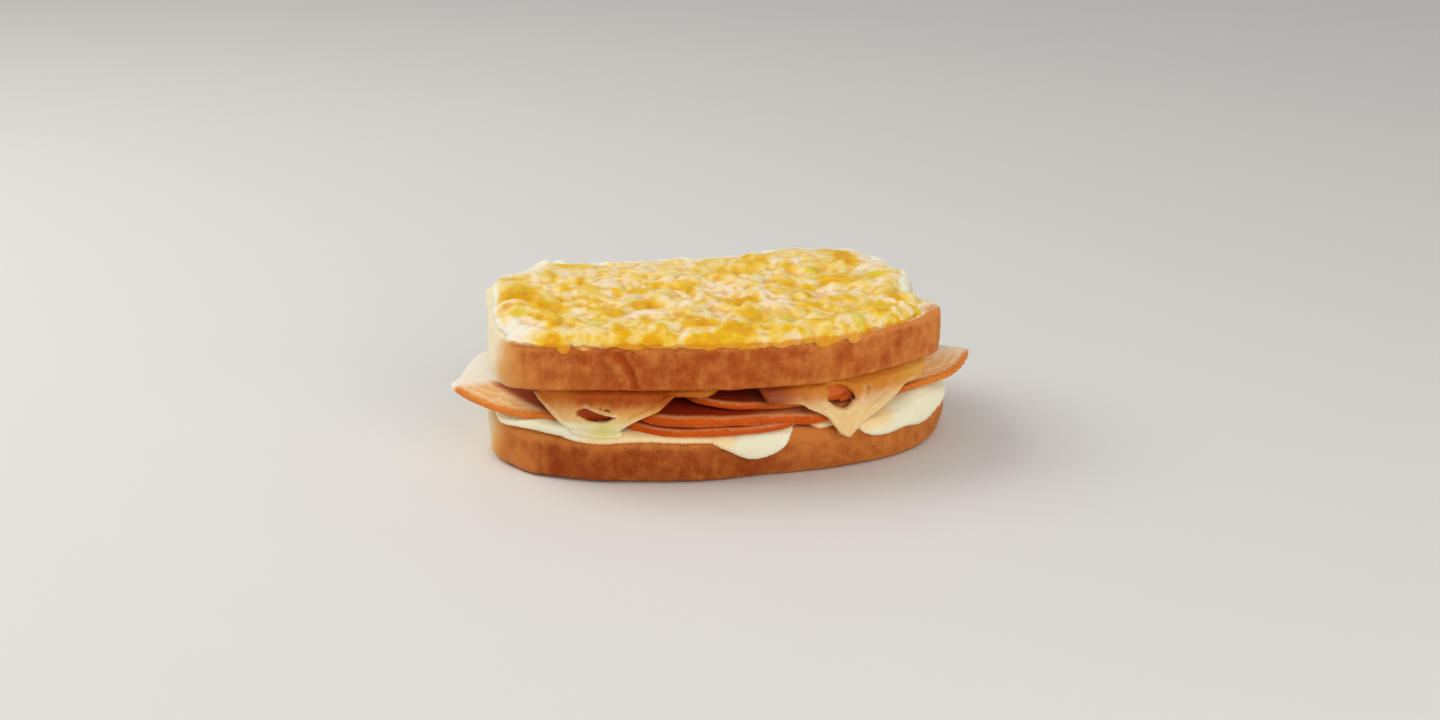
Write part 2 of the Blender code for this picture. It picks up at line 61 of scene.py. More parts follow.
# %% [markdown]
# ## The camera
#
# The photo looks down on the front crust from a little to the left, with a long lens, so that
# near and far edges are almost the same size. The focal length was measured in pixels of the
# photo, and becomes millimetres on a 36 mm sensor. A camera looks along its own -Z, so its +Z
# points from the toastie back to the lens.

# %% Point a long lens at the toastie
LOOK_AT = Vector((0.5, 5.5, 22)) * MM
CAMERA_TURN = math.radians(-11)
CAMERA_RISE = math.radians(17.5)
CAMERA_DISTANCE = 0.75
FOCAL_PIXELS, PHOTO_PIXELS, SENSOR = 2437.5, 1440, 36.0


def toward(turn, rise):
    """The direction from the toastie to something `turn` round from the front and `rise` up."""
    return Vector((math.sin(turn) * math.cos(rise), -math.cos(turn) * math.cos(rise),
                   math.sin(rise)))


def link(name, data):
    """An object that holds the data, in the scene."""
    thing = bpy.data.objects.new(name, data)
    bpy.context.scene.collection.objects.link(thing)
    return thing


back = toward(CAMERA_TURN, CAMERA_RISE)
camera = link("camera", bpy.data.cameras.new("camera"))
camera.location = LOOK_AT + back * CAMERA_DISTANCE
camera.rotation_euler = back.to_track_quat("Z", "Y").to_euler()
camera.data.sensor_width = SENSOR
camera.data.lens = FOCAL_PIXELS / PHOTO_PIXELS * SENSOR
camera.data.clip_start = 0.01
bpy.context.scene.camera = camera
print("lens", round(camera.data.lens, 2), "mm at", [round(v, 3) for v in camera.location])

# %% [markdown]
# ## Light
#
# The photo has one broad soft light high on the left and behind, which makes the cheese on top
# glow and the left wall of the bread bright. A weaker fill lights the front crust. Area lights do
# this, as their size sets how soft the shadows are, and a pale world fills the rest. The Standard
# view is used because the colours were measured as plain screen colours.

# %% Set up a soft studio
WORLD_LEVEL = 0.42


def soft_light(name, turn, rise, size, watts, tint):
    """A square light, a metre away, that faces the toastie."""
    light = bpy.data.lights.new(name, "AREA")
    light.size = size
    light.energy = watts
    light.color = tint
    lamp = link(name, light)
    away = toward(math.radians(turn), math.radians(rise))
    lamp.location = LOOK_AT + away
    lamp.rotation_euler = away.to_track_quat("Z", "Y").to_euler()
    print(f"{name}: {watts} W, {size} m wide")


soft_light("key", -112, 46, 0.7, 5.4, (1.0, 0.98, 0.95))
soft_light("fill", 18, 22, 0.9, 5.0, (1.0, 0.97, 0.93))
world = bpy.data.worlds.new("studio")
world.use_nodes = True
world.node_tree.nodes["Background"].inputs["Color"].default_value = (1, 1, 1, 1)
world.node_tree.nodes["Background"].inputs["Strength"].default_value = WORLD_LEVEL
bpy.context.scene.world = world
bpy.context.scene.view_settings.view_transform = "Standard"

# %% [markdown]
# ## Shader maths as expressions
#
# A material is a graph of nodes, but most of it is arithmetic: a mask times a noise, one less
# that. Linking each node by hand would be long and hard to read. Here `Tone` wraps one socket,
# and the usual operators add the node that does the sum: Math for numbers and Vector Math for
# places. Colours are only mixed, by `between` below, as Math would turn them grey. Every other
# node comes from `Tone.node`, which sets a node's settings before its sockets, since the
# settings decide which sockets it has.

# %% A socket that can be added and multiplied
class Tone:
    """A shader socket that can be used in Python expressions."""

    def __init__(self, socket):
        self.socket = socket

    @classmethod
    def node(cls, tree, kind, settings=None, sockets=None, outlet=0):
        """Adds a node, sets its settings and then its sockets, and returns one of its outlets."""
        made = tree.nodes.new("ShaderNode" + kind)
        for name, value in (settings or {}).items():
            if name == "stops":
                cls.set_stops(made.color_ramp, value)
            else:
                setattr(made, name, value)
        for name, value in (sockets or {}).items():
            inlet = next(s for s in made.inputs if s.name == name and s.enabled)
            if isinstance(value, Tone):
                tree.links.new(value.socket, inlet)
            else:
                inlet.default_value = value
        shown = [s for s in made.outputs if s.enabled]
        return cls(made.outputs[outlet] if isinstance(outlet, str) else shown[outlet])

    @staticmethod
    def set_stops(ramp, stops):
        """Gives a colour ramp its stops, each a place from 0 to 1 and a colour."""
        while len(ramp.elements) < len(stops):
            ramp.elements.new(1.0)
        for element, (place, colour) in zip(ramp.elements, stops):
            element.position = place
            element.color = colour

    def combine(self, operation, other, swapped=False):
        """The node for `self operation other`, of the kind that this socket carries."""
        kind = "VectorMath" if self.socket.type == "VECTOR" else "Math"
        pair = (other, self) if swapped else (self, other)
        return Tone.node(self.socket.id_data, kind, {"operation": operation}).fill(*pair)

    def fill(self, *values):
        """Sets the sockets of this outlet's node in order, for nodes that repeat a name."""
        for inlet, value in zip(self.socket.node.inputs, values):
            if isinstance(value, Tone):
                self.socket.id_data.links.new(value.socket, inlet)
            else:
                inlet.default_value = value
        return self

    def __add__(self, other):
        return self.combine("ADD", other)

    def __radd__(self, other):
        return self.combine("ADD", other, swapped=True)

    def __sub__(self, other):
        return self.combine("SUBTRACT", other)

    def __rsub__(self, other):
        return self.combine("SUBTRACT", other, swapped=True)

    def __mul__(self, other):
        return self.combine("MULTIPLY", other)

    def __rmul__(self, other):
        return self.combine("MULTIPLY", other, swapped=True)


# %% [markdown]
# ## Words for painting food
#
# A few words cover every finish below. `mottle` is cloudy noise, and a size of three numbers
# stretches it into streaks. `pits` is a field of small holes. `stored` reads a number that the
# mesh code left on the points. `step` makes a soft-edged mask, `between` mixes two colours by a
# mask, and `layered` lays colour after colour over the first, as a painter would. Colours are
# written as they look on a screen, and `shade` turns them into the light that a shader wants.

# %% Noise, masks and colours
def shade(red, green, blue):
    """A screen colour, 0 to 255, as linear light."""
    return tuple(((c / 255 + 0.055) / 1.055) ** 2.4 for c in (red, green, blue)) + (1.0,)


def spread(tree, size):
    """Where a point of the piece is, counted in steps of `size` millimetres."""
    place = Tone.node(tree, "TexCoord", outlet="Object")
    sizes = size if isinstance(size, tuple) else (size,) * 3
    return place * tuple(1 / (MM * s) for s in sizes)


def mottle(tree, size, detail=3.0, rough=0.55, seed=0.0):
    """Cloudy noise from 0 to 1 with clouds about `size` millimetres wide."""
    return Tone.node(tree, "TexNoise", {}, {"Vector": spread(tree, size) + (seed,) * 3,
                                           "Scale": 1.0, "Detail": detail, "Roughness": rough})


def pits(tree, size, seed=0.0):
    """The distance to the nearest of many scattered points, from 0 at each point."""
    return Tone.node(tree, "TexVoronoi", {}, {"Vector": spread(tree, size) + (seed,) * 3,
                                             "Scale": 1.0}, outlet="Distance")


def stored(tree, name):
    """The number that `mark` left under this name on the points of the mesh."""
    return Tone.node(tree, "Attribute", {"attribute_name": name}, outlet="Fac")


def step(value, low, high):
    """0 below `low`, 1 above `high`, and a smooth slope between."""
    return Tone.node(value.socket.id_data, "MapRange", {"interpolation_type": "SMOOTHSTEP"},
                     {"Value": value, "From Min": low, "From Max": high})


def between(mask, off, on):
    """The colour `off` where the mask is 0 and `on` where it is 1."""
    return Tone.node(mask.socket.id_data, "Mix", {"data_type": "RGBA", "clamp_factor": True},
                     {"Factor": mask, "A": off, "B": on})


def layered(colour, *layers):
    """The colour with others laid over it in turn, each given as (mask, colour)."""
    for mask, added in layers:
        colour = between(mask, colour, added)
    return colour


# %% [markdown]
# ## One food shader
#
# All the foods are soft and a little see-through, so they share one Principled shader and differ
# in colour, gloss, relief and how far light travels inside. Light that sinks in and comes out
# again is what tells cheese and bread from plaster. Relief is given in millimetres.

# %% Build a food finish
FOOD_IOR = 1.42  # between water, 1.33, and fat, 1.47
COAT_ROUGHNESS = 0.25


def finish(name, paint, shine=0.5, coat=0.0, glow=0.0, reach=1.0, tint=(1.0, 0.5, 0.25),
           through=0.0):
    """A material whose `paint(tree)` returns (colour, roughness, [(height, millimetres), ...]).

    shine is how strongly the surface reflects, and coat adds a wet film. glow is the share of
    light that enters the food and reach is how far it goes, in millimetres. through is a faint
    glow of the food's own colour, painted light that lifts the shaded parts of a thin pale layer.
    """
    material = bpy.data.materials.new(name)
    material.use_nodes = True
    tree = material.node_tree
    shader = tree.nodes["Principled BSDF"]
    colour, rough, reliefs = paint(tree)
    normal = None
    for height, millimetres in reliefs:
        sockets = {"Height": height, "Distance": millimetres * MM, "Strength": 1.0}
        if normal:
            sockets["Normal"] = normal
        normal = Tone.node(tree, "Bump", {}, sockets)
    varying = {"Base Color": colour, "Roughness": rough, "Normal": normal,
               "Emission Color": colour}
    for socket, tone in varying.items():
        tree.links.new(tone.socket, shader.inputs[socket])
    # Emission Strength is painted light: a glow of the food's own colour.
    constant = {"Emission Strength": through, "IOR": FOOD_IOR, "Specular IOR Level": shine,
                "Coat Weight": coat, "Coat Roughness": COAT_ROUGHNESS, "Subsurface Weight": glow,
                "Subsurface Radius": tint, "Subsurface Scale": reach * MM}
    for socket, value in constant.items():
        shader.inputs[socket].default_value = value
    print(f"{name}: {len(tree.nodes)} nodes")
    return material


# %% [markdown]
# ## Tools for soft meshes
#
# Food has no sharp edges and its parts run into one another. Subdividing the plain solids would
# only round them, and sculpting by hand can't be repeated. So the tool for every piece is the
# same: `skin` wraps any number of overlapping shapes in one fine, even skin and softens it.

# %% Wrap shapes in a skin
def applied(piece):
    """The piece with its modifiers made part of the mesh."""
    graph = bpy.context.evaluated_depsgraph_get()
    mesh = bpy.data.meshes.new_from_object(piece.evaluated_get(graph))
    piece.modifiers.clear()
    old, piece.data = piece.data, mesh
    bpy.data.meshes.remove(old)
    return piece


def joined(name, meshes, weld=False):
    """One mesh of several. Welding closes it and turns its faces out, ready to be cut."""
    shape = bmesh.new()
    for mesh in meshes:
        shape.from_mesh(mesh)
    if weld:
        bmesh.ops.remove_doubles(shape, verts=shape.verts, dist=0.001 * MM)
        bmesh.ops.recalc_face_normals(shape, faces=shape.faces)
    whole = bpy.data.meshes.new(name)
    shape.to_mesh(whole)
    shape.free()
    return whole


def skin(name, meshes, voxel, softening):
    """One skin around all the meshes, made of squares `voxel` millimetres wide."""
    piece = link(name, joined(name, meshes))
    wrap = piece.modifiers.new("wrap", "REMESH")
    wrap.mode = "VOXEL"
    wrap.voxel_size = voxel * MM
    wrap.use_smooth_shade = True
    soften = piece.modifiers.new("soften", "SMOOTH")
    soften.factor = 0.5
    soften.iterations = softening
    return applied(piece)


# %% [markdown]
# A loop over a hundred thousand points would be slow, so they are handled all at once, as rows of
# numbers. `lumps` is smooth noise, `ease` fades something in, `press` and `nudge` move places of
# a piece, and `hollows` measures where little light gets in.

# %% Read, move and mark its points
def rows_of(piece, what):
    """Three numbers for each point of the piece."""
    flat = np.empty(len(piece.data.vertices) * 3, np.float32)
    piece.data.vertices.foreach_get(what, flat)
    return flat.reshape(-1, 3).astype(float)


def points_of(piece):
    """The piece's points in millimetres."""
    return rows_of(piece, "co") / MM


def facing_of(piece):
    """The way that the surface faces at each point."""
    return rows_of(piece, "normal")


def reshape(piece, points):
    """Puts the piece's points at new places, given in millimetres."""
    piece.data.vertices.foreach_set("co", (points * MM).astype(np.float32).ravel())
    piece.data.update()


def mark(piece, **numbers):
    """Stores numbers for every point, which a material reads by name."""
    for name, values in numbers.items():
        attribute = piece.data.attributes.new(name, "FLOAT", "POINT")
        attribute.data.foreach_set("value", values.astype(np.float32))


def lumps(points, size, seed):
    """Smooth noise from about -1 to 1, with lumps `size` millimetres across."""
    return np.array([noise.noise(Vector(p)) for p in points / size + 17.3 * seed])


def ease(value, low, high):
    """0 below `low`, 1 above `high`, and a smooth slope between."""
    share = np.clip((value - low) / (high - low), 0, 1)
    return share * share * (3 - 2 * share)


def press(points, facing, way, amount):
    """Moves the surface that faces `way` out by `amount`, to close the gap beside it."""
    return points + facing * (amount * ease(facing @ np.array(way, float), 0.15, 0.6))[:, None]


def closeness(points, centre, reach):
    """1 at the centre, fading to 0 past the reach, which can differ along x, y and z."""
    return np.exp(-np.linalg.norm((points - centre) / reach, axis=1) ** 2)


def nudge(points, pushes):
    """Moves the points round each centre by its push. A push is (centre, reach, movement)."""
    for centre, reach, push in pushes:
        points = points + closeness(points, centre, reach)[:, None] * np.array(push, float)
    return points


def hollows(piece, rounds):
    """How deep each point lies below the surface smoothed over `rounds` neighbours, in mm."""
    ends = np.empty(len(piece.data.edges) * 2, np.int32)
    piece.data.edges.foreach_get("vertices", ends)
    first, second = ends.reshape(-1, 2).T
    points, facing = points_of(piece), facing_of(piece)
    count = np.bincount(ends, minlength=len(points))[:, None]
    smooth = points
    for _ in range(rounds):
        total = np.stack([np.bincount(first, smooth[second, k], len(points))
                          + np.bincount(second, smooth[first, k], len(points))
                          for k in range(3)], axis=1)
        smooth = total / count
    return ((smooth - points) * facing).sum(axis=1)


def serve(piece, slot, material, *nodes):
    """Gives the piece its finish and puts it in the place of its solid."""
    piece.data.materials.clear()
    piece.data.materials.append(material)
    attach(piece, "root")
    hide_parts(*nodes)
    low, high = points_of(piece).min(axis=0), points_of(piece).max(axis=0)
    print(f"{piece.name}: {2 * len(piece.data.polygons)} triangles, "
          f"{np.round(low, 1)} to {np.round(high, 1)}")


def node_mesh(name):
    """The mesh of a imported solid."""
    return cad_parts[name].data


# %% [markdown]
# ## Crust and crumb
#
# The crust of the real loaf is tan to red-brown in cloudy blotches, with fine upright wrinkles,
# tiny dark pores and a few creases where the slice was squeezed. It gets paler towards the ends
# of the slice, and the wall at the left is almost cream. The cut faces are pale crumb.
#
# Swells and creases are moved in the mesh, because they change the outline and catch the light
# from every side. Pores and grain are bumps in the material, since they are far smaller than any
# triangle. The paint reads how baked, how bare and how pale each point is, and how deep it lies
# in a dent: dents get painted shade and ridges painted light. The pale left wall is partly a
# paler crust and partly painted light from the lamp on the left.

# %% Paint for baked crust
def crust_paint(light, dark, crumb, pale):
    """Crust between a light and a dark brown, with crumb faces and paler ends of the slice."""
    def paint(tree):
        blotch = mottle(tree, 14, 3) * 0.9 + mottle(tree, 3.8, 4, seed=3) * 1.4 - 1.15
        streak = mottle(tree, (0.8, 0.8, 5.0), 3) - 0.5
        grain = mottle(tree, 0.6, 3, 0.65, seed=5) - 0.5
        # Painted shade darkens the crust in dents, and painted light lightens it on ridges.
        bake = stored(tree, "bake") + blotch + streak * 0.4 + grain * 0.4 + stored(tree, "dent")
        pore = step(1 - pits(tree, 1.3, seed=2), 0.80, 0.93) * step(mottle(tree, 9, 2), 0.48, 0.6)
        # The pale wall, partly a paler crust and partly painted light from the lamp on the left.
        flush = stored(tree, "pale") + (mottle(tree, 5, 4, seed=8) - 0.5) * 0.35
        hole = step(1 - pits(tree, 2.3, seed=6), 0.62, 0.85)
        bare = stored(tree, "bare") + (mottle(tree, 2.5, 3, seed=4) - 0.5) * 0.5
        inside = between(hole * 0.25 + (mottle(tree, 3, 3) - 0.5) * 0.4, crumb,
                         shade(222, 188, 140))
        colour = layered(light, (step(bake, 0.0, 1.3), dark), (pore * 0.6, shade(96, 34, 6)),
                         (step(flush, 0.05, 0.55), shade(232, 168, 96)),
                         (step(flush, 0.4, 1.0), pale), (step(bare, 0.35, 0.75), inside))
        rough = 0.55 + grain * 0.25 + stored(tree, "bare") * 0.25
        reliefs = [(mottle(tree, (1.1, 1.1, 2.2), 4, 0.6), 0.22), (0 - pore, 0.25),
                   (0 - hole * stored(tree, "bare"), 0.2), (mottle(tree, 0.45, 3, 0.6), 0.10)]
        return colour, rough, reliefs

    return paint


satin = {"shine": 0.15, "glow": 0.06, "reach": 1.0}
lower_crust = finish("lower_crust", crust_paint(shade(205, 124, 54), shade(150, 62, 14),
                                                shade(245, 226, 186), shade(238, 208, 160)),
                     **satin)
upper_crust = finish("upper_crust", crust_paint(shade(220, 138, 66), shade(170, 72, 18),
                                                shade(247, 230, 190), shade(246, 230, 196)),
                     **satin)

# %% [markdown]
# A crease is a groove along a short path. The crust sinks by an amount that fades with distance
# from the path, and just outside it swells a little, as skin does beside a fold.

# %% Creases and swells of the crust
def distance_to_path(points, path):
    """How far each point is from the nearest stretch of the path."""
    nearest = np.full(len(points), np.inf)
    for start, end in zip(path[:-1], path[1:]):
        start, run = np.array(start, float), np.subtract(end, start).astype(float)
        share = np.clip((points - start) @ run / (run @ run), 0, 1)
        away = np.linalg.norm(points - start - share[:, None] * run, axis=1)
        nearest = np.minimum(nearest, away)
    return nearest


def crease(points, path, width, depth):
    """How much each point moves out for one crease; the groove itself is below nought."""
    away = distance_to_path(points, path) / width
    return depth * (-np.exp(-away ** 2) + 0.15 * np.exp(-((away - 2.0) / 0.9) ** 2))


def round_left(points, centre):
    """The direction from the centre to each point: 0 degrees is left, 90 is the front."""
    return np.degrees(np.arctan2(centre[1] - points[:, 1], centre[0] - points[:, 0]))


# %% [markdown]
# One function makes both slices. It tells crust from crumb by the way the surface faces: the cut
# faces look up and down, and the crust is what lies between.

# %% Bake the two slices
def bread(name, node, seed, bake_along, creases, crumb_from, pale_round, browned, pushes):
    """A slice of bread: crust all round, crumb on both cut faces, the left wall paler.

    bake_along: places from left to right, and how baked the crust is at each.
    creases: (path, width, depth) of each; a negative depth makes a ridge.
    crumb_from: how squarely the top face must look up to be crumb.
    pale_round: a centre, and the directions from it between which the pale wall turns brown.
    browned: centre and reach of crust that has run over onto the cut face.
    """
    piece = skin(name, [node_mesh(node)], voxel=0.8, softening=8)
    points, facing = points_of(piece), facing_of(piece)
    x, _, z = points.T
    up = facing[:, 2]
    cut = np.maximum(ease(up, crumb_from, crumb_from + 0.3), ease(-up, 0.985, 1.0))
    swell = (0.40 * lumps(points, 19, seed) + 0.22 * lumps(points, 6, seed + 1)
             + 0.10 * lumps(points, (2.4, 2.4, 8.0), seed + 2))
    bent = points + 0.5 * np.stack([lumps(points, 2.6, seed + axis) for axis in (5, 6, 7)], axis=1)
    for path, width, depth in creases:
        swell += crease(bent, path, width, depth)
    crumb = 0.16 * lumps(points, 2.4, seed + 3)
    moved = nudge(points + facing * ((1 - cut) * swell + cut * crumb)[:, None], pushes)
    lowest, highest = z.min(), z.max()
    moved[:, 2] = np.maximum(moved[:, 2], lowest)
    reshape(piece, moved)
    # Painted shade: the crust is painted a little darker along its lowest edge.
    low_edge_shade = 1 - ease(z, lowest + 0.5, lowest + 4)
    high_edge = ease(z, highest - 3.5, highest - 1)
    # The pale wall faces left: partly a paler crust, partly painted light from the lamp on the
    # left.
    centre, start, end = pale_round
    turn = round_left(points, centre)
    mark(piece, bake=np.interp(x, *zip(*bake_along)) + 0.1 * low_edge_shade - 0.45 * high_edge,
         # painted shade in dents and painted light on ridges
         dent=np.clip(hollows(piece, 5) * 1.8, -0.25, 0.6),
         bare=cut * (1 - closeness(points, *browned)),
         pale=(1 - ease(turn, start, end)) * ease(turn, -125, -95))
    return piece


bottom_slice = bread(
    "bottom_slice", "bread_bottom", seed=1,
    bake_along=[(-72, 0.05), (-63, 0.3), (-55, 1.1), (-42, 0.95), (-10, 1.0), (2, 0.95),
                (14, 0.55), (40, 0.5), (70, 0.35)],
    creases=[([(24, -41, 12.2), (27, -40, 10.6), (31, -39, 10.9)], 0.8, 0.6),
             ([(33, -38.5, 12), (35.5, -37.6, 9.8)], 0.7, 0.6)],
    crumb_from=0.8, pale_round=((-50, 0), 2, 50), browned=((17, -40, 14), (14, 9, 6)),
    pushes=[((-60, -22, 2), (8, 12, 5), (-1.3, -1.0, 0)),
            ((-69, -9, 2), (6, 9, 5), (-2.0, -0.6, 0)),
            ((12, -47, 0), (18, 8, 5), (0, 2.8, 0)),
            ((12, -41, 13.5), (8, 5, 3), (0, 0, 2.2)),
            ((63, -14, 9), (6, 14, 6), (2.0, 0, 0))])
top_slice = bread(
    "top_slice", "bread_top", seed=4,
    bake_along=[(-71, 0.2), (-60, 0.6), (-50, 0.95), (-10, 0.95), (30, 0.72), (62, 0.55)],
    creases=[([(-37.8, -40.6, 39.6), (-36.4, -40.9, 37.4), (-35.1, -41.0, 35.2),
               (-34.1, -41.0, 33.0), (-33.4, -40.8, 30.0)], 1.0, 0.95),
             ([(-40.2, -40.1, 38.4), (-38.6, -40.4, 35.0), (-37.4, -40.6, 32.6)], 1.6, -0.4),
             ([(-50.6, -37.2, 36.4), (-47.0, -38.0, 36.0)], 1.4, -0.3)],
    crumb_from=0.35, pale_round=((-50, -15), 12, 62), browned=((61, -27, 45), (6, 8, 4)),
    pushes=[((-67, -18, 33), (8, 16, 6), (-2.4, 0, -0.3)),
            ((-66, 21, 42), (6, 8, 4), (-1.2, 1.0, 0.8)),
            ((59.5, 9, 42), (7, 12, 5), (1.3, 0.5, 0.2)),
            ((60, -24, 45), (5, 7, 4), (0, 0, 1.1))])
serve(bottom_slice, "crust_lower", lower_crust, "bread_bottom")
serve(top_slice, "crust_upper", upper_crust, "bread_top")

# %% [markdown]
# ## Pale cheese slices
#
# Two cold cheese slices lie side by side on the bottom bread, smooth, waxy and cream-white, with
# corners that have begun to sag over the crust. Only slow, shallow waves are needed, and light
# that sinks in: a hard white surface would look like card. Beside the meat the cheese gets
# painted light, warm, as if bounced from the meat, and it is yellower under the melted cheese.

# %% Lay the pale cheese
def pale_paint(tree):
    cloud = mottle(tree, 7, 3) - 0.5
    fleck = mottle(tree, 1.6, 4, seed=2) - 0.5
    runny = stored(tree, "runny") + cloud * 0.6 + fleck * 0.3
    # The last layer is painted light, warm, bounced from the meat.
    colour = layered(shade(243, 237, 207),
                     (0.45 + cloud * 1.1 + fleck * 0.6, shade(232, 224, 184)),
                     (step(runny, 0.15, 0.9), shade(236, 226, 166)),
                     (stored(tree, "warm") * 0.85, shade(254, 210, 150)))
    rough = 0.36 + fleck * 0.3
    folds = mottle(tree, (3.0, 8.0, 3.0), 3, seed=4)
    return colour, rough, [(folds, 0.5), (mottle(tree, 1.2, 3, seed=1), 0.05)]


# The pale cheese's faint glow of its own colour is painted light that lifts its shaded parts.
pale_cheese = finish("pale_cheese", pale_paint, shine=0.4, coat=0.1, glow=0.6, reach=5.0,
                     tint=(1.0, 0.85, 0.6), through=0.1)
ONTO_BREAD = 0.3  # a sheet's underside sinks this far, so that it lies on the bread with no gap


def soft_sheet(name, node, seed, voxel=0.6, softening=5, wave=0.25, ripple=0.08, swell=0.0):
    """A thin layer of filling, with slow waves and a finer ripple."""
    piece = skin(name, [node_mesh(node)], voxel, softening)
    points, facing = points_of(piece), facing_of(piece)
    waves = wave * lumps(points, 9, seed) + ripple * lumps(points, 2.5, seed + 1) + swell
    reshape(piece, points + facing * waves[:, None])
    return piece


def beside(points, path, near, far):
    """1 up to `near` millimetres from the path, fading to 0 at `far`."""
    return 1 - ease(distance_to_path(points, path), near, far)


PALE_PUSHES = {"left": [((-66, -14, 14), (5, 9, 3), (-3.0, -1.4, -0.6)),
                        ((-58, -27, 15.5), (13, 6, 2.5), (0, 0, 1.9)),
                        ((-53, -33, 15.8), (6, 4, 2), (0, -0.2, 0.8)),
                        ((-45, -38.0, 16.3), (10, 2.6, 2), (0, -0.3, 0.7))],
               "right": [((16.5, -37, 14), (3.5, 4, 3), (3.0, 1.5, -0.4)),
                         ((54, -22, 15.5), (16, 9, 4), (0, 0, 3.0)),
                         ((64, -14, 15), (6, 14, 5), (1.0, 0, 0))]}
UNDER_MELTED = [(-45, -38, 16), (-40, -39.5, 16)]
# Paths beside the meat, where painted bounce light warms the pale cheese.
BESIDE_MEAT = {"left": [(-45, -38, 15), (-8, -43, 14)],
               "right": [(17, -41, 14), (33, -38, 15), (42, -35, 16)]}
for side, seed in (("left", 11), ("right", 14)):
    cheese = soft_sheet(f"pale_slice_{side}", f"cheese_lower_{side}", seed)
    sunk = press(points_of(cheese), facing_of(cheese), (0, 0.6, -0.8), ONTO_BREAD)
    sunk = nudge(sunk, PALE_PUSHES[side])
    reshape(cheese, sunk)
    mark(cheese, runny=beside(sunk, UNDER_MELTED, 0, 5),
         # painted warm bounce light from the meat beside it
         warm=beside(sunk, BESIDE_MEAT[side], 2, 6))
    serve(cheese, "pale_cheese", pale_cheese, f"cheese_lower_{side}")

# %% [markdown]
# ## Turkey
#
# The slices were cut from a cooked breast: the flat faces are pale with faint streaks of muscle,
# and round each one runs a browned rim. The stack and the two ends share one paint in other
# colours, since the ends catch more light.

# %% Paint for turkey
def turkey_paint(face_light, face_dark, rim_light, rim_dark):
    """Pale meat with faint stripes that follow the rim, and a browned rim."""
    def paint(tree):
        fibre = mottle(tree, (7.0, 2.2, 7.0), 4, 0.6) - 0.5
        cloud = mottle(tree, 9, 2, seed=4) - 0.5
        grain = mottle(tree, 0.8, 3, seed=6) - 0.5
        stripe = Tone.node(tree, "Math", {"operation": "SINE"})
        stripe.fill(2.2 * stored(tree, "inward") + 16 * cloud + 9 * fibre)
        face = layered(face_light, (0.5 + stripe * 0.2 + fibre * 0.9 + cloud * 0.7, face_dark),
                       (stored(tree, "white") + cloud * 0.5, shade(250, 243, 228)))
        edge = between(0.5 + cloud + grain * 1.2, rim_light, rim_dark)
        rim = step(stored(tree, "rim") + fibre * 0.35 + grain * 0.2, 0.15, 0.95)
        # deep: painted shade, deep red, between the slices and under the bread
        colour = layered(face, (rim, edge), (stored(tree, "deep"), shade(156, 30, 0)))
        rough = 0.42 + grain * 0.3
        return colour, rough, [(mottle(tree, (6.0, 1.5, 2.0), 3), 0.25), (grain, 0.06)]

    return paint


meat = {"shine": 0.15, "coat": 0.03, "glow": 0.15, "reach": 1.4, "tint": (1.0, 0.35, 0.12)}
turkey_stack = finish("turkey_stack", turkey_paint(shade(238, 168, 104), shade(224, 134, 72),
                                                   shade(218, 100, 4), shade(188, 65, 0)), **meat)
turkey_ends = finish("turkey_ends", turkey_paint(shade(254, 222, 170), shade(242, 170, 90),
                                                 shade(238, 146, 56), shade(212, 106, 26)), **meat)


# %% [markdown]
# The rim is found from the mesh itself, as the band where the surface turns from one face to the
# other, so that it follows every bend, as a painted line would not. In the stack only the rims
# show, and between them the meat is deep red where no light gets in.

# %% Lay the turkey
def away_from(points, marks):
    """How far each point is from the nearest of the marks."""
    tree = KDTree(len(marks))
    for number, place in enumerate(marks):
        tree.insert(place, number)
    tree.balance()
    return np.array([tree.find(place)[2] for place in points])


def turkey(place, seed, material, shading, pushes, rim_width, swell, voxel=0.55):
    """One slice of turkey. shading(points, from_rim) gives how dark and how white a point is."""
    node = f"turkey_{place}"
    piece = soft_sheet(f"turkey_slice_{place}", node, seed, voxel, softening=9, wave=0.2,
                       ripple=0.03, swell=swell)
    points, facing = points_of(piece), facing_of(piece)
    on_rim = np.abs(facing[:, 2]) < 0.45
    from_rim = away_from(points, points[on_rim])
    deep, white = shading(points, from_rim)
    # deep is painted shade; white is paler meat, at the left end partly painted light.
    mark(piece, rim=np.exp(-(from_rim / rim_width) ** 2) * (1 - ease(white, 0.2, 0.8)),
         inward=from_rim, deep=deep, white=white)
    reshape(piece, nudge(points, pushes))
    serve(piece, "turkey", material, node)


def stacked(points, from_rim):
    """Painted shade a little way behind the rim, less so at the right, where the gaps close up."""
    closing = ease(points[:, 0], -2, 14)
    return 0.94 * ease(from_rim, 0.5, 2.4) * (1 - 0.85 * closing), np.zeros(len(points))


def past(points, line):
    """How far each point is to the right of a line that runs forward through two places."""
    (x, y), (end_x, end_y) = line
    run = np.array((end_x - x, end_y - y)) / math.hypot(end_x - x, end_y - y)
    return -(points[:, 0] - x) * run[1] + (points[:, 1] - y) * run[0]


def left_end(points, from_rim):
    """Painted shadow right of the line running forward from the bread's corner; white at the back,
    partly painted light.
    """
    shadowed = ease(past(points, SHADOW_EDGE), -1.4, 1.0) * ease(-points[:, 1], 0, 5)
    return 0.86 * shadowed, ease(points[:, 1], -4.5, 0.5)


def right_end(points, from_rim):
    """Painted shade under the bread, with a pale back edge."""
    return 0.35 * ease(-points[:, 0], -60, -48), 0.5 * ease(points[:, 1], -14, -4)


# The line past which painted shadow darkens the left end of the turkey.
SHADOW_EDGE = ((-69.0, -4.9), (-54.7, -28.0))
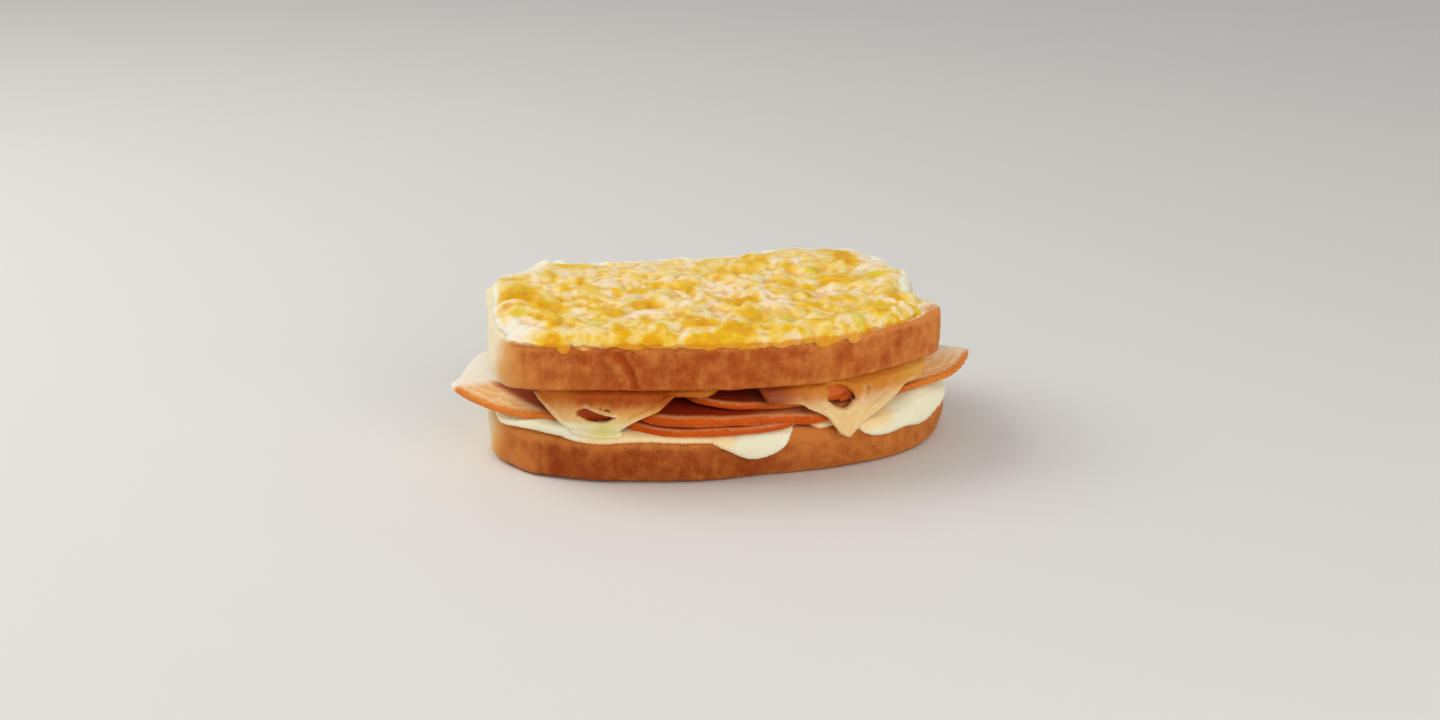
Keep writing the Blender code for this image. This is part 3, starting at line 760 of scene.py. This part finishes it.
# The rims of the stack sag at the front, each a little, and the middle one at the right too.
SAG = [((-16, -44, 17), (24, 10, 7), (0, 0, -0.9)), ((-28, -40, 19), (12, 8, 7), (0, 0, -1.2))]
RIGHT_SAG = [((20, -41, 18), (9, 8, 7), (0, 0, -2.0))]
turkey("lower", 21, turkey_stack, stacked, SAG, rim_width=0.9, swell=0.3)
turkey("middle", 23, turkey_stack, stacked, SAG + RIGHT_SAG, rim_width=0.9, swell=0.3)
turkey("upper", 25, turkey_stack, stacked, SAG[1:], rim_width=0.8, swell=0.2)
turkey("left", 27, turkey_ends, left_end, [((-58, -30, 17), (10, 8, 4), (0, 0.3, 0.9))],
       rim_width=1.6, swell=0.12, voxel=0.47)
turkey("right", 29, turkey_ends, right_end, [((58, -26, 18), (14, 6, 4), (0, 0, 0.7))],
       rim_width=1.8, swell=0.12, voxel=0.47)

# %% [markdown]
# ## Melted cheese
#
# The slice under the top bread has melted and run down the filling in two curtains. It is deep
# amber where it is thick and shaded under the bread, and pale where it thins and pools on the
# cold cheese. Strands are laid over the solid's own sheet as simple flattened tubes, and the skin
# drawn round all of them joins them in smooth webs, which is just what melting does.

# %% Shape a flattened tube
def strand(path, widths, thick, normals, sides=8):
    """(points, faces) of a closed flat tube along the path, `widths` and `thick` half its size."""
    path = np.array(path, float)
    along = np.gradient(path, axis=0)
    points, faces = [], []
    for place, run, width, normal in zip(path, along, widths, normals):
        side = np.cross(run, normal)
        side /= np.linalg.norm(side)
        up = np.cross(side, run)
        up /= np.linalg.norm(up)
        for turn in np.arange(sides) * 2 * math.pi / sides:
            points.append(place + side * width * math.cos(turn)
                          + up * min(thick, width) * math.sin(turn))
    for ring in range(len(path) - 1):
        for i in range(sides):
            a, b = ring * sides + i, ring * sides + (i + 1) % sides
            faces.append((a, b, b + sides, a + sides))
    faces.append(tuple(reversed(range(sides))))
    faces.append(tuple(range(len(points) - sides, len(points))))
    return points, faces


def gathered(name, shapes):
    """One mesh of many (points, faces) shapes."""
    points, faces = [], []
    for more_points, more_faces in shapes:
        start = len(points)
        points += [tuple(p * MM) for p in more_points]
        faces += [tuple(start + i for i in face) for face in more_faces]
    mesh = bpy.data.meshes.new(name)
    mesh.from_pydata(points, [], faces)
    return mesh


def tapered(count, width, ends=0.35):
    """Half widths along a strand, full in the middle and narrow at both ends."""
    share = np.linspace(-1, 1, count)
    return width * (ends + (1 - ends) * np.sqrt(1 - share ** 4))


# %% [markdown]
# The paint reads many marks. `thin` is the pale lower part of a curtain, `golden` the lighter
# right curtain and both ends of the left one, and one mark the painted sheen along the strands.
# `pool` and `yolk` are the cream foot at the left, `deep` the painted shade at the start of the
# right curtain and `honey` its far end. `inner` is the web seen through the holes, and `ledge`
# makes the top side duller.

# %% Paint for melted cheese
def melted_paint(tree):
    cloud = mottle(tree, 6, 3) - 0.5
    run = mottle(tree, (2.0, 2.0, 7.0), 4) - 0.5
    thin = stored(tree, "thin") + cloud * 0.35 + run * 0.3
    # Painted sheen along the strands, lighter where light catches them.
    bead = stored(tree, "bead") + run * 0.4
    pool = stored(tree, "pool") + cloud * 0.4
    golden, yolk = stored(tree, "golden"), stored(tree, "yolk")
    colour = layered(
        between(golden, shade(176, 78, 0), shade(210, 130, 34)),
        (step(thin, 0.0, 0.6), between(golden, shade(224, 160, 78), shade(230, 188, 134))),
        (step(thin, 0.55, 1.1), shade(242, 208, 142)),
        (step(bead, 0.2, 1.0) * 0.6, shade(244, 210, 158)),
        (step(pool, 0.1, 0.9), between(yolk, shade(243, 233, 198), shade(232, 220, 142))),
        # painted shade where the right curtain starts under the bread
        (stored(tree, "deep"), shade(142, 50, 0)),
        (stored(tree, "honey"), shade(228, 172, 76)),
        (stored(tree, "inner"), between(golden, shade(176, 66, 8), shade(232, 116, 48))))
    rough = 0.32 + run * 0.2 + stored(tree, "ledge") * 0.5
    return colour, rough, [(mottle(tree, (2.2, 2.2, 6.0), 3), 0.4), (mottle(tree, 0.9, 3), 0.05)]


melted_gloss = finish("melted_gloss", melted_paint, shine=0.28, coat=0.04, glow=0.3, reach=2.2,
                      tint=(1.0, 0.6, 0.25))

# %% [markdown]
# A strand follows a path of a few places. A hole is cut by a tube before the skin is drawn, so
# that the skin rounds its edge too.

# %% Hang strands and cut holes
STRAND_RINGS = 11


def hanging(path, width, thick, facing=(0.0, -1.0, 0.2)):
    """A strand on the front of the filling, with `width` and `thick` half its size."""
    knots = np.array(path, float)
    share = np.linspace(0, len(knots) - 1, STRAND_RINGS)
    smooth = np.stack([np.interp(share, range(len(knots)), knots[:, k]) for k in range(3)], axis=1)
    return strand(smooth, tapered(STRAND_RINGS, width, 0.5), thick,
                  [np.array(facing)] * STRAND_RINGS)


def bore(centre, inward, width, height, up):
    """A flat tube that runs inward through the centre, to cut a hole `width` across."""
    inward = np.array(inward) / np.linalg.norm(inward)
    path = [np.array(centre) + inward * depth for depth in (-6, -2, 2, 5)]
    return strand(path, [width / 2] * 4, height / 2, [np.array(up)] * 4, sides=20)


def with_holes(mesh, bores):
    """A copy of the mesh with the tubes cut out of it."""
    whole = link("whole", joined("whole", [mesh], weld=True))
    tool = link("tool", joined("tool", [gathered("bores", bores)], weld=True))
    cut = whole.modifiers.new("cut", "BOOLEAN")
    cut.operation = "DIFFERENCE"
    cut.object = tool
    holed = applied(whole).data
    for thing in (whole, tool):
        bpy.data.objects.remove(thing)
    return holed


# %% [markdown]
# Behind each hole lies a web, so that one sees cheese through it, as in the photo, and not the
# dark between the layers.

# %% Let the cheese run
STRANDS = [  # half width, half thickness, path
    (0.7, 0.6, [(-60.4, -26.8, 25.8), (-58.6, -29.0, 23.6), (-56.0, -31.2, 20.8),
                (-53.6, -32.8, 18.0)]),
    (0.8, 0.7, [(-36.6, -38.8, 17.6), (-33.4, -39.8, 19.8), (-29.6, -40.6, 21.6),
                (-26.8, -41.2, 23.0), (-24.6, -41.6, 25.2), (-22.4, -41.9, 26.8)]),
    (0.55, 0.5, [(-47.2, -35.8, 23.4), (-44.2, -36.8, 22.2), (-41.2, -37.8, 21.2),
                 (-38.6, -38.4, 20.6)]),
    (0.9, 1.0, [(15.6, -43.0, 22.8), (19.6, -42.9, 20.8), (23.6, -42.7, 18.6),
                (26.2, -42.5, 15.2), (28.6, -42.3, 12.4)]),
    (1.1, 1.0, [(37.0, -39.2, 25.4), (34.6, -40.6, 20.6), (32.2, -41.4, 16.0),
                (30.4, -41.9, 12.0)]),
    (0.9, 0.9, [(31.6, -41.4, 12.8), (33.6, -40.6, 15.6), (38.0, -38.4, 17.6),
                (43.4, -35.4, 20.0), (49.0, -32.2, 22.4)]),
    (0.8, 1.1, [(52.0, -30.0, 24.6), (44.0, -35.0, 21.8), (36.6, -39.6, 18.2),
                (31.6, -41.8, 13.6)]),
    (0.9, 1.1, [(22.2, -42.4, 21.4), (25.0, -42.4, 18.8), (29.4, -42.0, 18.4),
                (33.4, -40.6, 21.8), (34.6, -39.8, 25.6)]),
]
FOOT = [(-51.0, -33.8, 15.8), (-47.5, -35.6, 15.7), (-43.5, -37.0, 15.6), (-40.0, -38.0, 15.5),
        (-37.0, -38.8, 15.2)]
WEBS = [[(-50.5, -31.6, 20.8), (-44.0, -33.4, 20.8), (-38.0, -35.2, 20.8)],
        [(22.4, -37.2, 25.4), (27.1, -37.2, 24.2), (31.8, -36.6, 23.0)]]
runs = [hanging(FOOT, 2.2, 0.5, (0.1, -0.35, 1.0)), hanging(WEBS[0], 3.0, 0.45, (-0.3, -1.0, 0.0)),
        hanging(WEBS[1], 3.4, 0.45, (0.1, -1.0, 0.0))]
runs += [hanging(path, width, thick) for width, thick, path in STRANDS]
holed = with_holes(node_mesh("cheese_melted"), [
    bore((-44.4, -36.9, 20.5), (0.32, 0.95, 0), 12.0, 5.0, (0, 0, 1)),
    bore((27.5, -41.5, 23.0), (-0.1, 1.0, 0), 8.8, 7.0, (0.34, 0, 0.94)),
])
melted_slice = skin("melted_slice", [holed, gathered("runs", runs)], voxel=0.5, softening=5)
print(len(runs), "strands and webs joined to the melted slice")

# %% [markdown]
# The skin gets slow drips, rises to stick to the bread above it, and is marked for its paint.

# %% Shape and mark the melted slice
UP_TO_BREAD = 0.8
points, facing = points_of(melted_slice), facing_of(melted_slice)
x, y, _ = points.T
lip = np.where(x < 0, -50 - 0.34 * x, -39.6)  # the webs lie behind this line across the holes
inner = np.maximum(*(beside(points, web, 3.2, 3.8) for web in WEBS)) * ease(y - lip, 0, 0.8)
hang = ease(-y, 26, 36)
drips = (0.20 * lumps(points, 7, 31) + 0.14 * lumps(points, (2.6, 2.6, 6.0), 32)) * hang
points = press(points + facing * drips[:, None], facing, (0, 0, 1), UP_TO_BREAD)
points = nudge(points, [((-45, -37, 16.0), (11, 5, 2.5), (0, 0.9, -0.8)),
                        ((50, -31, 22.4), (7, 6, 3), (0, 0, 1.5)),
                        ((58.5, -24, 25.5), (4, 6, 3), (-1.0, 0, 0.6))])
reshape(melted_slice, points)
x, _, z = points.T
from_strand = np.minimum.reduce([distance_to_path(points, path) for _, _, path in STRANDS])
faint = 1 - 0.8 * np.exp(-((x + 23) / 7) ** 4)
# painted sheen along the strands
mark(melted_slice, bead=np.exp(-(from_strand / 1.2) ** 2) * faint,
     golden=np.maximum.reduce([ease(x, 4, 24), 0.55 * ease(x, -24, -14),
                               0.55 * ease(-x, 47, 54)]),
     inner=inner, ledge=ease(facing[:, 2], 0.3, 0.7) * ease(z, 25.8, 27.0),
     yolk=closeness(points, (-42, -38, 17), 5), thin=ease(-z, -26.4, -18.4) * hang,
     honey=0.7 * ease(x, 42, 54), pool=ease(-z, -19.4, -17.2) * ease(-x, 0, 10),
     # deep: painted shade where the right curtain starts
     deep=0.85 * ease(x, 0, 4) * (1 - ease(x, 7, 16)))
serve(melted_slice, "melted_cheese", melted_gloss, "cheese_melted")

# %% [markdown]
# ## Grated cheese, grilled
#
# The top is a thick scatter of grated cheese, two kinds mixed: one stays cream, the other goes
# golden. Under the grill the shreds have slumped into one another, so single ones can be followed
# in places and are lost in others. The solid already has the big lumps. Noise alone would look
# like foam, so hundreds of shreds are laid along its surface, each walking over the lumps and
# down the edge, and one skin joins them.

# %% Walk shreds over the surface
SHRED_STEPS = 7
TOP_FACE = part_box("bread_top")[1].z / MM
HANG_LIMIT = 3.6  # how far down the side of the bread a shred may walk


def surface_of(mesh):
    """A mesh that can be asked for its nearest point, in millimetres."""
    corners = [tuple(vertex.co / MM) for vertex in mesh.vertices]
    return BVHTree.FromPolygons(corners, [tuple(face.vertices) for face in mesh.polygons])


def walk(surface, place, heading, stride, bend, steps):
    """Places and normals of a path that keeps to the surface, turning by `bend` each stride."""
    places, normals = [], []
    along = Vector((math.cos(heading), math.sin(heading), 0))
    for _ in range(steps):
        found, normal, _, _ = surface.find_nearest(place)
        if found.z < TOP_FACE - HANG_LIMIT or normal.z < -0.2:
            break
        places.append(np.array(found))
        normals.append(np.array(normal))
        along = (along - normal * along.dot(normal)).normalized()
        along = (along + normal.cross(along) * bend).normalized()
        place = found + along * stride
    return places, normals


def shred(draw, surface, start, length, width, thick, lift):
    """One grated shred: its middle line and its shape, or None where it would fall off."""
    places, normals = walk(surface, Vector((*start, TOP_FACE + 2)), draw.gauss(1.2, 0.8),
                           length / SHRED_STEPS, draw.gauss(0, 0.12), SHRED_STEPS)
    if len(places) < 4:
        return None
    places = [place + normal * lift for place, normal in zip(places, normals)]
    return places, strand(places, tapered(len(places), width), thick, normals)


# %% [markdown]
# Coarse shreds come first and fine ones over them. Towards the back they lie deeper, as the
# cheese is smoother there. A last row and three drips hang over the front edge.

# %% Scatter the shreds
KINDS = [(400, (5, 11), (1.3, 2.5), 0.8, 0.0),
         (220, (3, 7), (0.6, 1.0), 0.6, 0.15)]  # number, length, half width and thickness, lift
DRIPS = [(-53.4, -37.4, 41.2, 1.4), (21.0, -44.4, 41.2, 2.2),
         (30.6, -42.1, 41.0, 1.9)]  # x, y, lowest z, half width
topping_mesh = node_mesh("cheese_topping")
crown = surface_of(topping_mesh)
draw = random.Random(5)
laid = []
for count, lengths, widths, thick, higher in KINDS:
    for _ in range(count):
        start = (draw.uniform(-69, 60), draw.uniform(-48, 44))
        calm = ease(start[1], 18, 38)
        lift = draw.uniform(-0.3, 0.3) * (1 - calm) - 0.4 * calm + higher
        laid.append(shred(draw, crown, start, draw.uniform(*lengths), draw.uniform(*widths),
                          thick, lift))
for across in np.arange(-60, 54, 2.2):
    front = -46 + 0.0042 * (across + 4) ** 2
    laid.append(shred(draw, crown, (across, front + draw.uniform(-1, 4)), draw.uniform(3, 7),
                      draw.uniform(0.6, 1.2), 0.7, draw.uniform(-0.2, 0.3)))
laid = [found for found in laid if found]
hung = [hanging([(x, y + 1.5, TOP_FACE + 1.6), (x, y, TOP_FACE), (x, y - 0.3, low)], width, 0.9)
        for x, y, low, width in DRIPS]
print(len(laid), "shreds laid")
topping = skin("grilled_topping", [topping_mesh, gathered("shreds", [s for _, s in laid] + hung)],
               voxel=0.55, softening=5)

# %% [markdown]
# Every shred gets a tone from cream (0) to gold (1), with drifts of more gold or less. For each
# point of the skin the nearest shreds vote, which blurs the borders as melting does. The larger
# gold and cream patches of the photo are placed one by one.

# %% Tell gold from cream
PATCHES = [  # x, y, half length, half width, tone, lemon
    (-61, 6, 6.5, 8, 1.0, 0.3), (-60, 23, 5, 3.6, 0.85, 0.5), (-53, -10, 4.8, 5.6, 1.0, 0.2),
    (-63, -14, 2.7, 3.6, 0.75, 0.9), (-49, 24, 2.7, 6.5, 0.8, 0.1), (-46, 14, 2.5, 3.6, 0.7, 1.0),
    (-44, 24, 2.3, 4.6, 0, 0), (-47, 4, 2.7, 4, 0, 0), (-57, -37, 4, 4, 1.0, 0),
    (-43, -28, 3.4, 5.6, 0.5, 1.0), (-36, -21, 4.8, 3.1, 0.9, 0), (-25, 5, 4.6, 3.6, 0.95, 0.1),
    (-37, -36, 2.5, 6, 0.95, 0), (-13, -35, 5.3, 4, 1.05, 0), (-29, -44, 3, 4, 1.0, 0),
    (-13, -46, 6, 3, 1.0, 0), (-28, -31, 2.3, 5, 0.85, 0), (45, 27, 3.5, 8.7, 1.15, 0),
    (36, 3, 5, 5, 0.95, 0.3), (49, 8, 3.2, 4, 0.8, 0.7), (32, 14, 2.5, 4.6, 0.75, 0.8),
    (9, 17, 8, 6.5, 0.95, 0.3), (36, 36, 1.4, 5, 0, 0), (31, -9, 5.3, 6, 0, 0),
    (42, -26, 4.4, 4.6, 0.85, 0.5), (13, -34, 3.2, 4.6, 0.55, 1.0), (21, -37, 5.7, 4, 1.0, 0),
    (4, -39, 4.4, 3.6, 0.8, 0.5), (33, -38, 2.5, 5, 0.6, 0.8), (23, -48, 5, 4, 1.0, 0.2),
    (-63, -26, 6, 8, -0.2, 0), (-51, -34, 3, 3, 0.3, 0), (3, -29, 4.5, 5, 0.95, 0),
    (-13, 18, 5, 9, 0.15, 0), (38, -42, 4.5, 3.5, 1.0, 0), (-27, -4, 4.5, 5, 0.2, 0),
    (16, 26, 5, 5, 0.9, 0.3), (35, 29, 3, 5, 0.2, 0), (6, 31, 6, 4, 0.3, 0),
    (-4, -42, 6, 7, 0.95, 0), (50, -17, 4, 6, 0.85, 0), (-32, 13, 5, 8, 0.2, 0),
    (-56, 28, 5, 5, 0.1, 0), (53, 14, 4, 6, 0.2, 0), (-63, 2, 4, 4, 1.1, 0),
]


def shred_tone(middle):
    """A tone from cream to gold, with drifts of more gold or less."""
    drift = noise.noise(Vector(middle) / 7)
    ends = ease(abs(middle[0] + 5), 25, 50)
    behind = ease(middle[1], 0, 24)
    usual = 0.44 + 0.07 * ends - 0.08 * behind
    return min(max(usual + 0.35 * drift + draw.gauss(0, 0.24), 0), 1)


def votes(points, shreds):
    """For each point, the tone of its nearest shreds."""
    lookup = KDTree(sum(len(places) for places, _ in shreds))
    tones = []
    for places, _ in shreds:
        tone = shred_tone(places[len(places) // 2])
        for place in places:
            lookup.insert(place, len(tones))
            tones.append(tone)
    lookup.balance()
    result = []
    for point in points:
        near = lookup.find_n(point, 6)
        weights = [1 / (0.6 + distance) ** 2 for _, _, distance in near]
        result.append(sum(w * tones[i] for w, (_, i, _) in zip(weights, near)) / sum(weights))
    return np.array(result)


# %% [markdown]
# The tone picks a colour from a ramp. Over it come lemon patches, pale blushes, a painted orange
# shade in the hollows, orange on the front edge, which caught more heat, and white where the
# cheese has set without browning: along the back, at both ends, and on a lump at the left front
# corner.

# %% Paint for grilled cheese
CHEESE_TONES = [(0.0, shade(252, 232, 202)), (0.3, shade(249, 222, 152)),
                (0.52, shade(246, 210, 104)), (0.75, shade(240, 190, 36)),
                (1.0, shade(232, 166, 0))]


def topping_paint(tree):
    patch = mottle(tree, (3.4, 7.0, 3.4), 2, seed=7) - 0.5
    fleck = mottle(tree, (1.2, 2.6, 1.2), 2, seed=2) - 0.5
    tone = stored(tree, "tone") + patch * 0.8 + fleck * 0.3
    lemon = stored(tree, "lemon") + (mottle(tree, (3.0, 5.0, 3.0), 3, seed=9) - 0.5) * 1.8
    blush = (mottle(tree, (2.8, 4.6, 2.8), 3, seed=12) - 0.5) * 2 - tone * 0.5 + 0.25
    # Painted shade: the hollows between shreds are painted a warm orange.
    sunk = stored(tree, "hollow") + fleck * 0.2
    toast = stored(tree, "toast") + patch * 1.2 + fleck * 0.5
    white = stored(tree, "white") + patch * 0.4 + fleck * 0.3
    colour = layered(
        Tone.node(tree, "ValToRGB", {"stops": CHEESE_TONES}, {"Fac": tone}),
        (step(lemon + fleck * 0.4, 0.12, 0.8) * 0.65, shade(222, 208, 60)),
        (step(blush, 0.05, 0.5) * 0.5, shade(254, 220, 196)),
        (step(sunk, 0.05, 0.55) * 0.6, shade(236, 172, 52)),
        (step(toast, 0.3, 0.95) * 0.85, shade(228, 148, 20)),
        (step(white, 0.25, 0.9), shade(248, 242, 218)))
    rough = 0.42 + fleck * 0.3
    return colour, rough, [(mottle(tree, (2.2, 4.4, 2.2), 2, seed=1), 0.22),
                           (mottle(tree, 0.8, 3), 0.05)]


grilled_cheese = finish("grilled_cheese", topping_paint, shine=0.16, coat=0.02, glow=0.3,
                        reach=2.4, tint=(1.0, 0.7, 0.3))


# %% Mark the topping
def oval(points, x, y, half_length, half_width):
    """1 inside an oval seen from above, falling quickly to 0 outside it."""
    away = ((points[:, 0] - x) / half_length) ** 2 + ((points[:, 1] - y) / half_width) ** 2
    return np.exp(-away ** 2)


points, facing = points_of(topping), facing_of(topping)
x, y, z = points.T
tones = votes(points, laid)
lemons = np.zeros(len(points))
for *place, tone, lemon in PATCHES:
    near = 0.9 * oval(points, *place)
    tones = tones * (1 - near) + tone * near
    lemons = np.maximum(lemons, lemon * near)
walls = points_of(top_slice)[np.abs(facing_of(top_slice)[:, 2]) < 0.3]
from_wall = away_from(points * (1, 1, 0), walls * (1, 1, 0))
whites = np.maximum.reduce([
    (1 - ease(from_wall, 5, 10)) * ease(y, 14, 30),
    (1 - ease(from_wall, 2.5, 6)) * ease(-x, 50, 58) * ease(y - 0.9 * x, 26, 34),
    (1 - ease(from_wall, 3, 7)) * ease(x, 42, 52) * ease(y, -24, -4),
    0.75 * oval(points, -65, -26, 7, 8)])
# painted orange shade in the hollows between shreds
mark(topping, tone=tones, lemon=lemons, hollow=np.clip(hollows(topping, 6) * 4, 0, 1),
     toast=ease(TOP_FACE - z, -1.4, 0.7) * ease(-y, 20, 34),
     white=whites * ease(z, TOP_FACE - 1, TOP_FACE + 0.2))
print(f"tones {tones.min():.2f} to {tones.max():.2f}")

# %% [markdown]
# The underside sinks into the bread, the overhang is drawn up to a short fringe except where it
# drips, and the rim rises at the back.

# %% Fit the topping to the slice
INTO_BREAD = 0.9
points = press(points, facing, (0, 0, -1), INTO_BREAD)
x, y, _ = points.T
above = np.maximum(points[:, 2] - TOP_FACE, 0)
points[:, 2] -= above * 0.6 * (1 - ease(from_wall, 1, 5)) * ease(-x, 52, 60)
drop = np.maximum(TOP_FACE - points[:, 2], 0)
keep = np.clip(0.5 + 0.45 * lumps(points * (1, 0, 0), 3.2, 41), 0.25, 0.9)
for middle, _, _, width in DRIPS:
    keep = np.maximum(keep, np.exp(-((x - middle) / (1.5 * width)) ** 4))
points[:, 2] += drop * (1 - keep) * ease(-y, 18, 30)
pushed = nudge(points, [((30, 34, 45), (22, 12, 6), (0, 0.8, 1.3)),
                        ((-10, 38, 45), (45, 9, 6), (0, 0, 0.5)),
                        ((-48, 36, 45), (12, 12, 6), (0, 0.6, 0.7)),
                        ((-64, 20, 45), (6, 8, 4), (-1.8, 0.8, 0.7)),
                        ((-67, -8, 44), (5, 18, 4), (-2.4, 0, -0.3)),
                        ((56, 9, 45), (7, 12, 6), (2.8, 0.8, 0.2)),
                        ((55.6, -18.8, 45.7), (6, 6, 5), (0, 0, -1.4)),
                        ((36, 35, 45), (16, 12, 6), (0, 0, 0.8)),
                        ((12, 38, 45), (8, 10, 6), (0, 0, -0.6)),
                        ((60, -25, 46), (5.5, 6.5, 5), (-3.0, 2.2, -0.8))])
pushed[:, 2] = points[:, 2] + (pushed[:, 2] - points[:, 2]) * ease(above, 0.2, 1.2)
reshape(topping, pushed)
serve(topping, "grilled_cheese", grilled_cheese, "cheese_topping")

# %% [markdown]
# ## The floor
#
# A plain pale floor, wide enough to fill the view from any side, just under the bread.

# %% Lay the floor
FLOOR_HALF, FLOOR_DROP = 6.0, 0.0001  # metres: half its width, and how far under the bread


def floor_paint(tree):
    cloud = mottle(tree, 60, 2) - 0.5
    colour = between(0.5 + cloud * 0.6, shade(232, 230, 226), shade(228, 226, 221))
    return colour, 0.6 + cloud * 0.1, [(mottle(tree, 3, 2), 0.01)]


floor_mesh = bpy.data.meshes.new("floor")
corners = [(right * FLOOR_HALF, rear * FLOOR_HALF, -FLOOR_DROP)
           for right, rear in ((-1, -1), (1, -1), (1, 1), (-1, 1))]
floor_mesh.from_pydata(corners, [], [(0, 1, 2, 3)])
floor = link("floor", floor_mesh)
floor_mesh.materials.append(finish("pale_floor", floor_paint, shine=0.1))

# %% Update the scene
bpy.context.view_layer.update()
